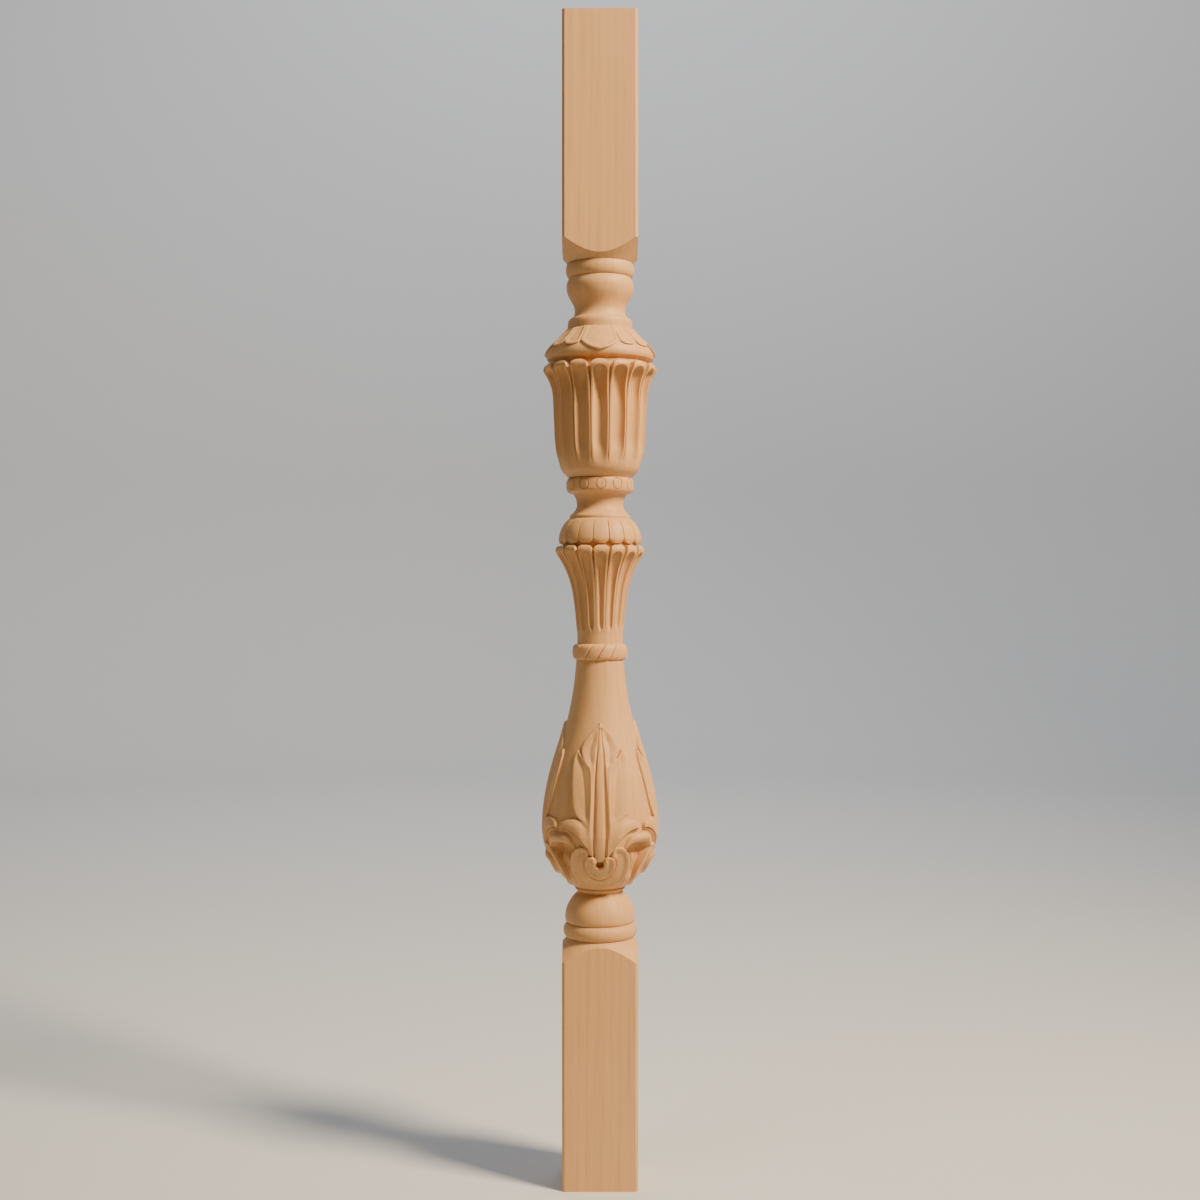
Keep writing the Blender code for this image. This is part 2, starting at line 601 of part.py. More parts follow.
def build_baluster(bm):
    """Stack every moulding from the floor up."""
    ring_foot = LOWER_BLOCK_LENGTH + LOWER_SHOULDER_HEIGHT
    ball_foot = ring_foot + LOWER_RING_HEIGHT
    bulb_foot = ball_foot + BALL_HEIGHT
    rope_foot = bulb_foot + BULB_HEIGHT
    trumpet_foot = rope_foot + ROPE_HEIGHT
    collar_foot = trumpet_foot + TRUMPET_HEIGHT
    scotia_foot = collar_foot + COLLAR_HEIGHT
    roundel_foot = scotia_foot + SCOTIA_HEIGHT
    cup_foot = roundel_foot + ROUNDEL_RING_HEIGHT
    dome_foot = cup_foot + CUP_HEIGHT
    dome_ring_foot = dome_foot + DOME_HEIGHT
    ogee_foot = dome_ring_foot + DOME_RING_HEIGHT
    upper_ring_foot = ogee_foot + OGEE_HEIGHT
    upper_shoulder = upper_ring_foot + UPPER_RING_HEIGHT
    upper_block = upper_shoulder + UPPER_SHOULDER_HEIGHT

    patch_top = LEAF_HEIGHT + LEAF_TOP_MARGIN
    below = joined(
        [block_arc_ring(LOWER_BLOCK_LENGTH, LOWER_SHOULDER_HEIGHT, LOWER_RING_NECK)],
        bead(ring_foot, LOWER_RING_HEIGHT, LOWER_RING_NECK, LOWER_RING_RADIUS, BALL_NECK),
        ball_rings(ball_foot),
        [circle(bulb_foot + LEAF_FOOT_MARGIN, bulb_ground(LEAF_FOOT_MARGIN))])
    neck = [mix(patch_top, BULB_HEIGHT, share) for share in (0, 0.3, 0.6, 0.86)]
    bulb_neck = [circle(bulb_foot + height, bulb_ground(height)) for height in neck]
    rope = rope_rings(rope_foot)
    above = joined(
        trumpet_rings(trumpet_foot), collar_rings(collar_foot), scotia_rings(scotia_foot),
        roundel_rings(roundel_foot), cup_rings(cup_foot), dome_rings(dome_foot),
        bead(dome_ring_foot, DOME_RING_HEIGHT, DOME_TOP_RADIUS, DOME_RING_RADIUS, DOME_RING_TOP),
        ogee_rings(ogee_foot),
        bead(upper_ring_foot, UPPER_RING_HEIGHT, OGEE_TOP_RADIUS, UPPER_RING_RADIUS, UPPER_RING_NECK),
        [block_arc_ring(upper_block, -UPPER_SHOULDER_HEIGHT, UPPER_RING_NECK)])

    lower_arc, _ = stack_skin(bm, below)
    skin_block(bm, add_ring(bm, block_end_ring(0.0)), lower_arc)
    _, neck_top = stack_skin(bm, bulb_neck)
    strands = [[bm.verts.new(place(*point)) for point in ring] for ring in rope]
    for lower, upper in zip(strands, strands[1:]):
        skin_twisted(bm, lower, upper)

    def by_angle(ring, vertices):
        pairs = [(point[0] % 360.0, vertex) for point, vertex in zip(ring, vertices)]
        return sorted(pairs, key=lambda pair: pair[0])

    skin(bm, neck_top, by_angle(rope[0], strands[0]))
    trumpet_bottom, upper_arc = stack_skin(bm, above)
    skin(bm, by_angle(rope[-1], strands[-1]), trumpet_bottom)
    skin_block(bm, add_ring(bm, block_end_ring(TOTAL_HEIGHT)), upper_arc)

    shaped, faces = leaf_patch(bulb_foot)
    for side in SIDES:
        for hand in (1, -1):
            vertices = [bm.verts.new(place(side + hand * angle, radius, height))
                        for angle, radius, height in shaped]
            for face in faces:
                bm.faces.new([vertices[k] for k in face[::hand]])
    bmesh.ops.remove_doubles(bm, verts=bm.verts, dist=WELD_DISTANCE)
    bmesh.ops.recalc_face_normals(bm, faces=bm.faces)


def wood_material():
    """Pale unfinished timber."""
    material = bpy.data.materials.new("wood")
    material.use_nodes = True
    shader = material.node_tree.nodes["Principled BSDF"]
    shader.inputs["Base Color"].default_value = WOOD_COLOR
    shader.inputs["Roughness"].default_value = WOOD_ROUGHNESS
    shader.inputs["Metallic"].default_value = 0.0
    return material


def main():
    """Model the baluster as one object."""
    for item in list(bpy.data.objects):
        bpy.data.objects.remove(item, do_unlink=True)
    mesh = bpy.data.meshes.new("baluster")
    bm = bmesh.new()
    build_baluster(bm)
    bm.to_mesh(mesh)
    bm.free()
    mesh.shade_smooth()
    mesh.set_sharp_from_angle(angle=math.radians(SHARP_ANGLE))
    mesh.materials.append(wood_material())
    bpy.context.collection.objects.link(bpy.data.objects.new("baluster", mesh))


main()
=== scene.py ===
"""Carved stair baluster in a studio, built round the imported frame.

The visual piece is one closed skin of timber. Turned and fluted mouldings are
stacks of rings round the Z axis. The leaves of the bulb, the petals of the
dome and the roundels are triangulated patches of half a pattern that follow
their carved lines, mirrored and repeated round the axis.

Lengths are in metres and angles in degrees, from the front (-Y) towards +X.
Carved outlines are (degrees from the pattern's middle, millimetres above the
moulding's foot).
"""

import math
from itertools import accumulate

import bmesh
import bpy
import numpy as np
from bpy.props import FloatProperty, FloatVectorProperty, IntProperty, PointerProperty
from bpy.types import Operator, Panel, PropertyGroup
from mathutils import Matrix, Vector
from mathutils.geometry import delaunay_2d_cdt
from mathutils.kdtree import KDTree


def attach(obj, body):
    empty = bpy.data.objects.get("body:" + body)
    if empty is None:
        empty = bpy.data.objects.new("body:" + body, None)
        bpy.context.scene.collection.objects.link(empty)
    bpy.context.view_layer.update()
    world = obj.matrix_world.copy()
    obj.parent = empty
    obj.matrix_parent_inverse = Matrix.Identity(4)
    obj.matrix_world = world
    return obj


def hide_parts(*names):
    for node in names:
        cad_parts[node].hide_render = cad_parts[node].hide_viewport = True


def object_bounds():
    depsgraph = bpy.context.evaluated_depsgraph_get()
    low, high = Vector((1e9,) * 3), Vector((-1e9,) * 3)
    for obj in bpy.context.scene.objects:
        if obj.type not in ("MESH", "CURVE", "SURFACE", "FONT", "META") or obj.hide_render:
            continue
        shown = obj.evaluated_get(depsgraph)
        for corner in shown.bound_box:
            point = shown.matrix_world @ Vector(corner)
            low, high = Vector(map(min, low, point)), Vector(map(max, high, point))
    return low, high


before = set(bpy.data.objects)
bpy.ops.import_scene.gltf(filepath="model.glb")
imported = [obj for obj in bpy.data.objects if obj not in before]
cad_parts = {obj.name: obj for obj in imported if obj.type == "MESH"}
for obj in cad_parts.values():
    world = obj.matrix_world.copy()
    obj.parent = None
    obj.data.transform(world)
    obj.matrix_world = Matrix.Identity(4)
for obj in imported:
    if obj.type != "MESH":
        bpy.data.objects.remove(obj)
CAD_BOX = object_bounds()

bl_info = {
    "name": "Carved Baluster",
    "version": (1, 0, 0),
    "blender": (4, 5, 0),
    "location": "3D View > Sidebar > Baluster",
    "description": "Builds a turned and carved stair baluster and its studio",
    "category": "Add Mesh",
}

NODE = "baluster"
MM = 0.001
SIDES = (0, 90, 180, 270)
HALF_SIDE_ANGLE = 45

# Fineness of the mesh: columns of the plain turned parts, rows of a bead and of a flute's hood, and steps
# over half the curved edge of a block's side.
PLAIN_COLUMNS = 96
BEAD_ROWS = 10
HOOD_ROWS = 9
ARC_STEPS = 16
# Columns of half a scooped flute, as shares of its half width, and of one strand of the rope and one tongue
# of the collar, as shares of the pitch. Levels of the rope ring are shares of its height.
HALF_SCOOP = (0.25, 0.5, 0.72, 0.9, 1)
STRAND_COLUMNS = (-0.5, -0.455, -0.40, -0.30, -0.18, -0.06, 0.06, 0.18, 0.30, 0.40, 0.455)
TONGUE_COLUMNS = (-0.5, -0.488, -0.47, -0.43, -0.35, -0.23, -0.11, 0, 0.11, 0.23, 0.35, 0.43, 0.47, 0.488)
ROPE_LEVELS = (0, 0.04, 0.10, 0.20, 0.33, 0.5, 0.67, 0.80, 0.90, 0.96, 1)
# Distance between the points of a carved line, as a share of its patch's spacing.
LINE_FINENESS = 0.8
WELD_DISTANCE = 0.00002
SHARP_ANGLE = 42.0
# Power of the sine that rounds a bead: over 1 it is slimmer than a half circle.
BEAD_FULLNESS = 1.3
TINY = 1e-6

# Height of each moulding, from the floor up. The upper block takes up the rest.
MOULDINGS = {
    "lower_block": 0.1739,
    "lower_shoulder": 0.0149,
    "lower_ring": 0.0112,
    "ball": 0.0239,
    "bulb": 0.1798,
    "rope": 0.0125,
    "trumpet": 0.0766,
    "collar": 0.0202,
    "scotia": 0.0194,
    "roundel_ring": 0.0121,
    "cup": 0.0882,
    "dome": 0.0272,
    "dome_ring": 0.0086,
    "ogee": 0.0313,
    "upper_ring": 0.0110,
    "upper_shoulder": 0.0155,
}

# Bulb: heights of its widest place and of the carved band.
BULB_BELLY_HEIGHT = 0.0471
BULB_BAND_FOOT = 0.0026
BULB_BAND_TOP = 0.1337
# Dome: heights where its carved band starts and ends.
DOME_BAND_FOOT = 0.0032
DOME_BAND_TOP = 0.0268
# Cup: share of its height that is plain at its foot.
CUP_PLAIN_FOOT = 0.07
# Roundels: how far their patch ends inside the ring.
ROUNDEL_MARGIN = 0.0001
# Share of the ring's height where the middles of the roundels lie, and steps of half their outline.
ROUNDEL_MIDDLE = 0.56
ROUNDEL_STEPS = 20
# Roundels, in millimetres: height of their domed faces, half width of the cut round them, and spacing.
ROUNDEL_BOSS = 0.25
ROUNDEL_CUT_HALF_WIDTH = 0.35
ROUNDEL_SPACING = 0.7
# Flutes: share of the way from the hollow to the cut where the rim's flat starts, the share of the groove's
# depth at shares of a flute's length, and the same share between the hoods.
FLUTE_RIM_SHARE = 0.65
FLUTE_CUT_SHARE = ((0.07, 0), (0.12, 1), (0.7, 1), (0.88, 1.5), (1, 2.5))
HOOD_CUT_SHARE = 2.5
# Rope ring: share of the pitch that half a cut takes, and how far a strand swells.
ROPE_CUT_SHARE = 0.09
ROPE_SWELL = 0.00025
# Collar: height where the core under the tongues ends, share of the pitch that half a tongue and half a cut
# take, and how far a tongue falls towards its tip and its sides.
COLLAR_CORE_TOP = 0.0024
TONGUE_SHARE = 0.488
COLLAR_CUT_SHARE = 0.03
TONGUE_TIP_FALL = 0.0006
TONGUE_SIDE_FALL = 0.0003
# Petals of the dome, in millimetres: width of the wall round them, and spacing.
PETAL_WALL = 0.35
PETAL_SPACING = 0.9

# Turned profiles are (share of the moulding's height, share of its swell).
BALL_PROFILE = ((0, 0.835), (0.05, 0.93), (0.18, 1), (0.30, 0.985), (0.40, 0.945), (0.51, 0.86),
                (0.62, 0.745), (0.71, 0.62), (0.80, 0.49), (0.87, 0.35), (0.92, 0.23), (1, 0))
BULB_LOWER_PROFILE = ((0, 0), (0.045, 0.075), (0.16, 0.265), (0.26, 0.46), (0.41, 0.64), (0.61, 0.825),
                      (0.81, 0.94), (1, 1))
BULB_UPPER_PROFILE = ((0, 1), (0.11, 0.98), (0.21, 0.91), (0.32, 0.79), (0.42, 0.645), (0.53, 0.46),
                      (0.63, 0.31), (0.72, 0.20), (0.86, 0.075), (1, 0))
TRUMPET_PROFILE = ((0, 0.510), (0.09, 0.510), (0.17, 0.532), (0.30, 0.560), (0.42, 0.592), (0.54, 0.634),
                   (0.635, 0.686), (0.725, 0.758), (0.785, 0.818), (0.847, 0.896), (0.91, 0.98), (0.944, 1),
                   (0.969, 0.986), (1, 0.93))
COLLAR_PROFILE = ((0.07, 0.985), (0.208, 1), (0.347, 0.988), (0.46, 0.972), (0.574, 0.947), (0.693, 0.913),
                  (0.807, 0.866), (0.921, 0.807), (1, 0.748))
SCOTIA_LOWER_PROFILE = ((0, 1), (0.115, 1), (0.14, 0.93), (0.19, 0.72), (0.26, 0.46), (0.33, 0.28),
                        (0.42, 0.10), (0.55, 0))
SCOTIA_UPPER_PROFILE = ((0.55, 0), (0.67, 0.06), (0.80, 0.25), (0.90, 0.52), (1, 1))
ROUNDEL_LOWER_PROFILE = ((0, 0), (0.04, 0.50), (0.10, 0.74), (0.20, 0.91), (0.35, 0.985), (0.5, 1))
ROUNDEL_UPPER_PROFILE = ((0.5, 1), (0.68, 0.98), (0.82, 0.88), (0.91, 0.68), (0.96, 0.48), (1, 0))
CUP_PROFILE = ((0, 0.547), (0.021, 0.592), (0.047, 0.650), (0.075, 0.687), (0.10, 0.706), (0.155, 0.738),
               (0.21, 0.772), (0.265, 0.790), (0.345, 0.805), (0.47, 0.819), (0.60, 0.830), (0.72, 0.843),
               (0.77, 0.857), (0.82, 0.882), (0.87, 0.922), (0.91, 0.964), (0.947, 1), (0.975, 0.985),
               (1, 0.94))
DOME_FOOT_PROFILE = ((0, 0), (0.055, 0.02), (0.085, 0.35), (0.105, 0.62), (0.118, 0.74))
DOME_PROFILE = ((0.118, 0.955), (0.15, 0.98), (0.20, 0.995), (0.26, 0.99), (0.34, 0.95), (0.43, 0.865),
                (0.52, 0.75), (0.61, 0.62), (0.69, 0.475), (0.78, 0.335), (0.86, 0.205), (0.95, 0.07), (1, 0))
OGEE_LOWER_PROFILE = ((0, 1), (0.04, 0.56), (0.08, 0.28), (0.13, 0.08), (0.19, 0))
OGEE_UPPER_PROFILE = ((0.19, 0), (0.28, 0.08), (0.39, 0.31), (0.50, 0.61), (0.62, 0.87), (0.70, 0.96),
                      (0.76, 1))
OGEE_TOP_PROFILE = ((0.76, 1), (0.84, 0.92), (0.92, 0.55), (1, 0))

# Main leaf. Strokes meet at the corners of its outline: tip, eye, side lobe's tip, lower eye.
LEAF_STROKES = (
    ((0, 131.9), (5.5, 128.7), (13.1, 124.6), (21.6, 118.5), (24.6, 113.4), (22.9, 108.8), (18.4, 104)),
    ((18.4, 104), (22.5, 106.3), (27, 109.1), (30.5, 111.9)),
    ((30.5, 111.9), (33, 108), (33.4, 103), (31.8, 90), (29.8, 78.6), (27.6, 69.8), (23.6, 63.8),
     (16.5, 58.3)),
    ((16.5, 58.3), (22, 59.9), (30, 60.3), (36.5, 59.3), (41, 56.8), (41.7, 53.8), (39.8, 52.2), (35, 51.5),
     (29, 49.6), (23.5, 46.3), (19, 42.8), (15.5, 39.1), (10.2, 34.5), (7.2, 31)),
    ((7.2, 31), (4.4, 28.8), (0, 28.6)),
)
LEAF_UNDERSIDE = ((39.8, 52.2), (35, 51.5), (29, 49.6), (23.5, 46.3), (19, 42.8), (15.5, 39.1), (12.5, 36.4))
TOP_VALLEY = ((2.6, 126.6), (5, 124.2), (8.9, 120.5), (12.2, 116.1), (13.6, 110.7), (12.6, 106),
              (10.2, 101.4))
SIDE_VALLEY = ((29.3, 107.8), (27.3, 103.8), (22.8, 98.3), (19.8, 92), (17.6, 84), (16, 74), (14.7, 64),
               (13.8, 57))
INNER_CREST = ((18.4, 104), (15, 101.6), (12, 99), (10.4, 94.5), (9.7, 86), (9.3, 78), (9.4, 68), (9.9, 58),
               (10.5, 50))
# Upper edge of the side lobe's ground, past the inner crest.
SIDE_LOBE_TOP = ((9.3, 90), (10.4, 94.5), (12, 99), (15, 101.6), (18.4, 104), (30.5, 112))
MIDRIB_GROOVE = ((1.9, 127.5), (2.8, 121.4), (4.7, 104.4), (5.5, 87.6), (5.9, 70.7), (6.3, 53.6), (6.4, 40.6),
                 (6.2, 33))
LOBE_CREST = ((38, 55.4), (33, 55.8), (28, 55), (23, 52.8), (18.5, 49.3), (15, 45), (12.5, 40.5))
EYE_CUTS = (((18.4, 104), (29, 111)), ((16.5, 58.3), (27.5, 62.4)))
# Curl between two leaves, with the ribs under it.
CURL_TOP = ((25.2, 39), (27.5, 43), (31.5, 47.2), (39, 49.8), (45, 49.6))
CURL_UNDERSIDE = ((28, 37.5), (31.3, 40.4), (36, 41.9), (45, 42.4))
SIDE_RIB = ((35.5, 38), (38.2, 28), (40.2, 18), (41.5, 11))
MIDDLE_RIB = ((45, 39.5), (45, 6.5))
# Crease under the shells, round the bulb.
FOOT_CREASE = ((0, 4.1), (45, 4.1))
# Shell at the foot, with the smaller shell on its face and the hole over that.
SHELL_OUTLINE = ((0, 24), (3, 26.5), (7, 29.5), (13.3, 31.5), (12.9, 34.8), (13.6, 37.2), (16, 38.9),
                 (20, 39.5), (24, 38.7), (26.3, 37.5), (30, 34.7), (32.8, 30.7), (35.4, 25), (36.6, 20),
                 (36.2, 15.5), (33.5, 10.8), (27, 7.6), (17, 6.1), (0, 5.6))
SMALL_SHELL_OUTLINE = ((0, 28), (3.4, 27.9), (4.6, 28.4), (5, 30), (7, 31.4), (10.5, 31.9), (14, 31),
                       (16.3, 28.3), (17, 24.5), (16, 20.5), (12.5, 17), (6.5, 14.9), (0, 14))
HOLE_OUTLINE = ((0, 28.4), (3.2, 28.3), (4.7, 27.1), (4.4, 25.2), (2.8, 24.0), (0, 23.6))
HOLE_RIM = ((7.4, 28.4), (6.9, 24.9), (4.8, 22.5), (0, 21.7))
# Carving of the bulb, in millimetres: the wall and the round shoulder of a raised form, and the rows of
# points beside a line.
WALL = 0.45
SHOULDER = 0.7
BESIDE = (0.6, -0.6)
# Main leaf: where its valleys fade out, its curled lobe, the lobe's height at distances from its underside,
# and the half width and share of depth of the midrib's grooves at heights above the foot.
SIDE_VALLEY_FADE = (56, 64)
TOP_VALLEY_FADE = (99, 104)
LOBE_EDGE = 0.9
LOBE_SWELL = 2.3
LOBE_HALF_WIDTH = 5.6
UNDERSIDE_LEDGE = ((0, 1.1), (0.4, 1.5), (0.9, 1.2), (1.3, 0.3), (1.9, 4))
GROOVE_HALF_WIDTH = ((30, 1.1), (40, 1.25), (54, 1.5), (88, 1.25), (104, 0.9), (122, 0.4))
GROOVE_SHARE = ((30, 1.0), (54, 1.0), (88, 0.95), (104, 0.8), (122, 0.4))
EYE_CUT_DEPTH = 0.9
EYE_CUT_HALF_WIDTH = 1.7
# Pockets under the curls: where their side, foot and top slope, how much deeper they are under the curl, and
# the half widths of their ribs at heights above the foot.
POCKET_SIDE = (27, 33)
POCKET_FOOT = (6, 26)
POCKET_TOP = (41.0, 42.6)
POCKET_DEEPER = 0.55
POCKET_DEEPENING = (27, 38)
MIDDLE_RIB_HALF_WIDTH = ((6, 1.3), (40, 2.4))
SIDE_RIB_HALF_WIDTH = ((6, 1.0), (40, 1.5))
SIDE_RIB_SHARE = 0.9
# Shells: depth and slope of their dishes, their creases and the hole with its lip.
SHELL_DISH = 1.8
SMALL_SHELL_DISH = 1.1
DISH_SLOPE = (0.9, 4.2)
CREASE_HALF_WIDTH = 1.2
SHELL_CREASE_PLACE = 0.5
SHELL_CREASE_HALF_WIDTH = 1.0
HOLE_DEPTH = 3.0
HOLE_LIP = 0.9
HOLE_LIP_HALF_WIDTH = 1.2
# Petals of the dome: half a wide one over each side of the block, and a short round one between.
WIDE_PETAL = ((0, 6.2), (5.5, 7.3), (12, 9.3), (18, 12.1), (22, 14.3))
SHORT_PETAL = ((23, 15.6), (24.6, 13.4), (28, 12), (33.75, 11.5), (39.5, 12), (42.9, 13.4), (44.5, 15.6))

# Sizes by which the trumpet differs from the cup.
TRUMPET_SIZES = {
    "lip_radius": 0.0346,
    "phase": math.radians(1.8),
    "depth": 0.0032,
    "top_depth": 0.0044,
    "groove_depth": 0.0012,
    "fade": 0.115,
    "fade_length": 0.12,
    "narrowing": 0.85,
    "arch": 0.926,
    "top_width": 0.65,
    "mid_width": 0.62,
    "hood_corner": 0.0038,
    "hood_drop": 0.0009,
    "core_radius": 0.0286,
}

# Timber: how strongly its clouds, streaks, year rings and pores show, and how close the year rings lie.
CLOUDS = 0.55
STREAKS = 0.22
YEAR_RINGS = 0.10
PORES = 0.16
YEAR_RING_SCALE = 52.0
# Output of a Texture Coordinate node that gives the object's own coordinates.
OBJECT_OUTPUT = 3

# Each light: watts, place, width, the point that it faces and its spread in degrees.
KEY_LIGHT = (37.0, (1.35, -0.85, 1.9), 0.5, (0.0, 0.0, 0.5), 100)
FILL_LIGHT = (3.0, (-0.9, -0.9, 2.6), 0.8, (0.0, 0.0, 0.5), 100)
BACKDROP_LIGHT = (72.0, (0.0, 1.5, 3.0), 1.5, (0.0, 3.8, 0.9), 180)
AMBIENT_STRENGTH = 0.05
# Width of the camera's sensor in millimetres.
SENSOR_WIDTH = 36.0


def length(name, metres, description, least=0.0, most=0.2):
    """A size that the user can change."""
    return FloatProperty(name=name, description=description, default=metres, min=least, soft_max=most,
                         precision=5, subtype="DISTANCE", unit="LENGTH")


def share(name, default, description):
    """A number from 0 to 1 that the user can change."""
    return FloatProperty(name=name, description=description, default=default, min=0.0, max=1.0,
                         subtype="FACTOR")


def count(name, default, description):
    """A number of repeats that the user can change."""
    return IntProperty(name=name, description=description, default=default, min=3, soft_max=48)


def angle(name, degrees, description):
    """An angle that the user can change."""
    return FloatProperty(name=name, description=description, default=math.radians(degrees),
                         subtype="ANGLE", unit="ROTATION")


def colour(name, default, description):
    """A colour that the user can change."""
    return FloatVectorProperty(name=name, description=description, default=default, size=3,
                               min=0.0, max=1.0, subtype="COLOR")


class TurnedSizes(PropertyGroup):
    """Blocks, rings and plain necks."""

    total: length("Height", CAD_BOX[1].z, "Whole length of the baluster", 0.8, 1.2)
    block_side: length("Block side", 0.058, "Side of the square blocks")
    block_chamfer: length("Block chamfer", 0.002, "Chamfer along the long edges of the blocks")
    ring_radius: length("Lower ring", 0.0285, "Radius of the ring over the lower block")
    ring_neck: length("Lower neck", 0.0257, "Radius where the lower shoulder ends")
    ball_radius: length("Ball", 0.0271, "Radius of the ball under the bulb")
    ball_neck: length("Ball neck", 0.0254, "Radius between the lower ring and the ball")
    scotia_radius: length("Scotia", 0.0180, "Waist of the hollow neck over the collar")
    scotia_ledge: length("Scotia ledge", 0.0235, "Radius of the ledge at its foot")
    scotia_top: length("Scotia top", 0.0214, "Radius where the roundels start")
    dome_ring: length("Dome ring", 0.0251, "Radius of the ring over the dome")
    dome_ring_top: length("Dome ring top", 0.0222, "Radius where that ring ends")
    ogee_foot: length("Ogee foot", 0.0218, "Radius at the foot of the upper neck")
    ogee_waist: length("Ogee waist", 0.0196, "Waist of the upper neck")
    ogee_shoulder: length("Ogee shoulder", 0.0262, "Widest radius of the upper neck")
    ogee_top: length("Ogee top", 0.0241, "Radius at the top of the upper neck")
    upper_ring: length("Upper ring", 0.0266, "Radius of the ring under the upper block")
    upper_ring_neck: length("Upper neck", 0.0252, "Radius where the upper shoulder ends")


class BulbSizes(PropertyGroup):
    """Bulb and the relief of its leaves."""

    radius: length("Radius", 0.0433, "Widest radius under the carving")
    foot_radius: length("Foot", 0.0169, "Radius at the foot")
    neck_radius: length("Neck", 0.0184, "Radius under the rope ring")
    leaf_relief: length("Leaf relief", 0.0020, "How far the leaves stand over the bulb")
    groove_depth: length("Groove depth", 0.0018, "Depth of the grooves beside the midrib")
    valley_depth: length("Valley depth", 0.0019, "Depth of the hollow along each side lobe")
    top_valley_depth: length("Top valley depth", 0.0016, "Depth of the hollows in the top lobe")
    curl_relief: length("Curl relief", 0.0034, "How far the curls stand out")
    pocket_depth: length("Pocket depth", 0.0048, "Depth of the pockets under the curls")
    rib_relief: length("Rib relief", 0.0018, "Height of the ribs in the pockets")
    shell_relief: length("Shell relief", 0.0021, "How far the shell stands out at the foot")
    small_shell_relief: length("Small shell relief", 0.0034, "How far the small shell stands out")
    crease_depth: length("Crease", 0.0017, "Depth of the creases under the shells")
    spacing: length("Spacing", 0.00101, "Distance between the points of the carved mesh")


class RopeSizes(PropertyGroup):
    """Rope ring."""

    radius: length("Radius", 0.0215, "Radius of the ring")
    strands: count("Strands", 13, "Number of strands round it")
    cut_depth: length("Cut depth", 0.0013, "Depth of the cuts between the strands")
    twist: angle("Twist", 20.7, "Turn of each cut over the ring's height")
    phase: angle("Phase", 15.6, "Angle of the first strand")


class FluteSizes(PropertyGroup):
    """One fluted body. The cup and the trumpet each have one."""

    lip_radius: length("Lip", 0.0441, "Radius of the lip")
    flutes: count("Flutes", 16, "Number of flutes round it")
    phase: angle("Phase", 0.0, "Angle of the first flute")
    depth: length("Depth", 0.0044, "Depth of the flutes at mid height")
    top_depth: length("Top depth", 0.0060, "Depth of the flutes under their hoods")
    groove_depth: length("Groove", 0.0014, "Depth of the cuts between flutes")
    fade: share("Foot", 0.075, "Share of the height where the flutes start")
    fade_length: share("Fade", 0.30, "Share of a flute's length over which it deepens from its foot")
    narrowing: share("Narrowing", 0.30, "How much narrower a flute is at its foot")
    arch: share("Arch", 0.945, "Share of the height where the flutes end under their hoods")
    arch_rise: share("Arch rise", 0.95, "Rise of a flute's arch, as a share of its half width")
    top_width: share("Top width", 0.71, "Width of a flute under its hood, as a share of the pitch")
    mid_width: share("Mid width", 0.83, "Width of a flute at mid height, as a share of the pitch")
    hood_width: share("Hood width", 0.80, "Width of a hood, as a share of the pitch")
    hood_corner: length("Hood corner", 0.0056, "Radius of the hoods' round corners")
    hood_drop: length("Hood drop", 0.0008, "How far the hoods end under the top")
    core_radius: length("Core", 0.0375, "Radius of the core that shows behind the hoods")


class CollarSizes(PropertyGroup):
    """Collar of tongues."""

    radius: length("Radius", 0.0322, "Widest radius")
    foot_radius: length("Foot", 0.0286, "Radius under the tongues' tips")
    tongues: count("Tongues", 16, "Number of tongues round it")
    phase: angle("Phase", 1.8, "Angle of the first tongue")
    groove_depth: length("Groove", 0.0013, "Depth of the grooves between tongues")


class RoundelSizes(PropertyGroup):
    """Ring of roundels."""

    radius: length("Radius", 0.0260, "Radius of the ring")
    roundels: count("Roundels", 12, "Number of roundels round it")
    phase: angle("Phase", 1.5, "Angle of the first roundel")
    half_width: length("Half width", 0.0039, "Half width of a roundel")
    half_height: length("Half height", 0.0042, "Half height of a roundel")
    cut_depth: length("Cut depth", 0.0009, "Depth of the cut round each roundel")


class DomeSizes(PropertyGroup):
    """Dome of petals."""

    radius: length("Radius", 0.0416, "Widest radius")
    top_radius: length("Top", 0.0250, "Radius at the top")
    foot_radius: length("Foot", 0.0375, "Radius of the dark joint over the cup")
    relief: length("Relief", 0.0018, "How far the petals stand out")
    rim: length("Rim", 0.0014, "Width of the petals' rolled rims")
    dish: length("Dish", 0.0014, "Depth of the dish inside a petal's rim")


class Finish(PropertyGroup):
    """Colours of the timber."""

    wood: colour("Wood", (0.64, 0.34, 0.13), "Main colour of the timber")
    light_wood: colour("Light wood", (0.73, 0.42, 0.18), "Colour of the pale streaks")
    dark_wood: colour("Dark wood", (0.42, 0.20, 0.07), "Colour of the dark streaks and pores")
    grain_width: length("Grain width", 0.0022, "Width of the grain streaks")
    grain_length: length("Grain length", 0.09, "Length of the grain streaks")
    roughness: share("Roughness", 0.52, "Roughness of the sanded timber")


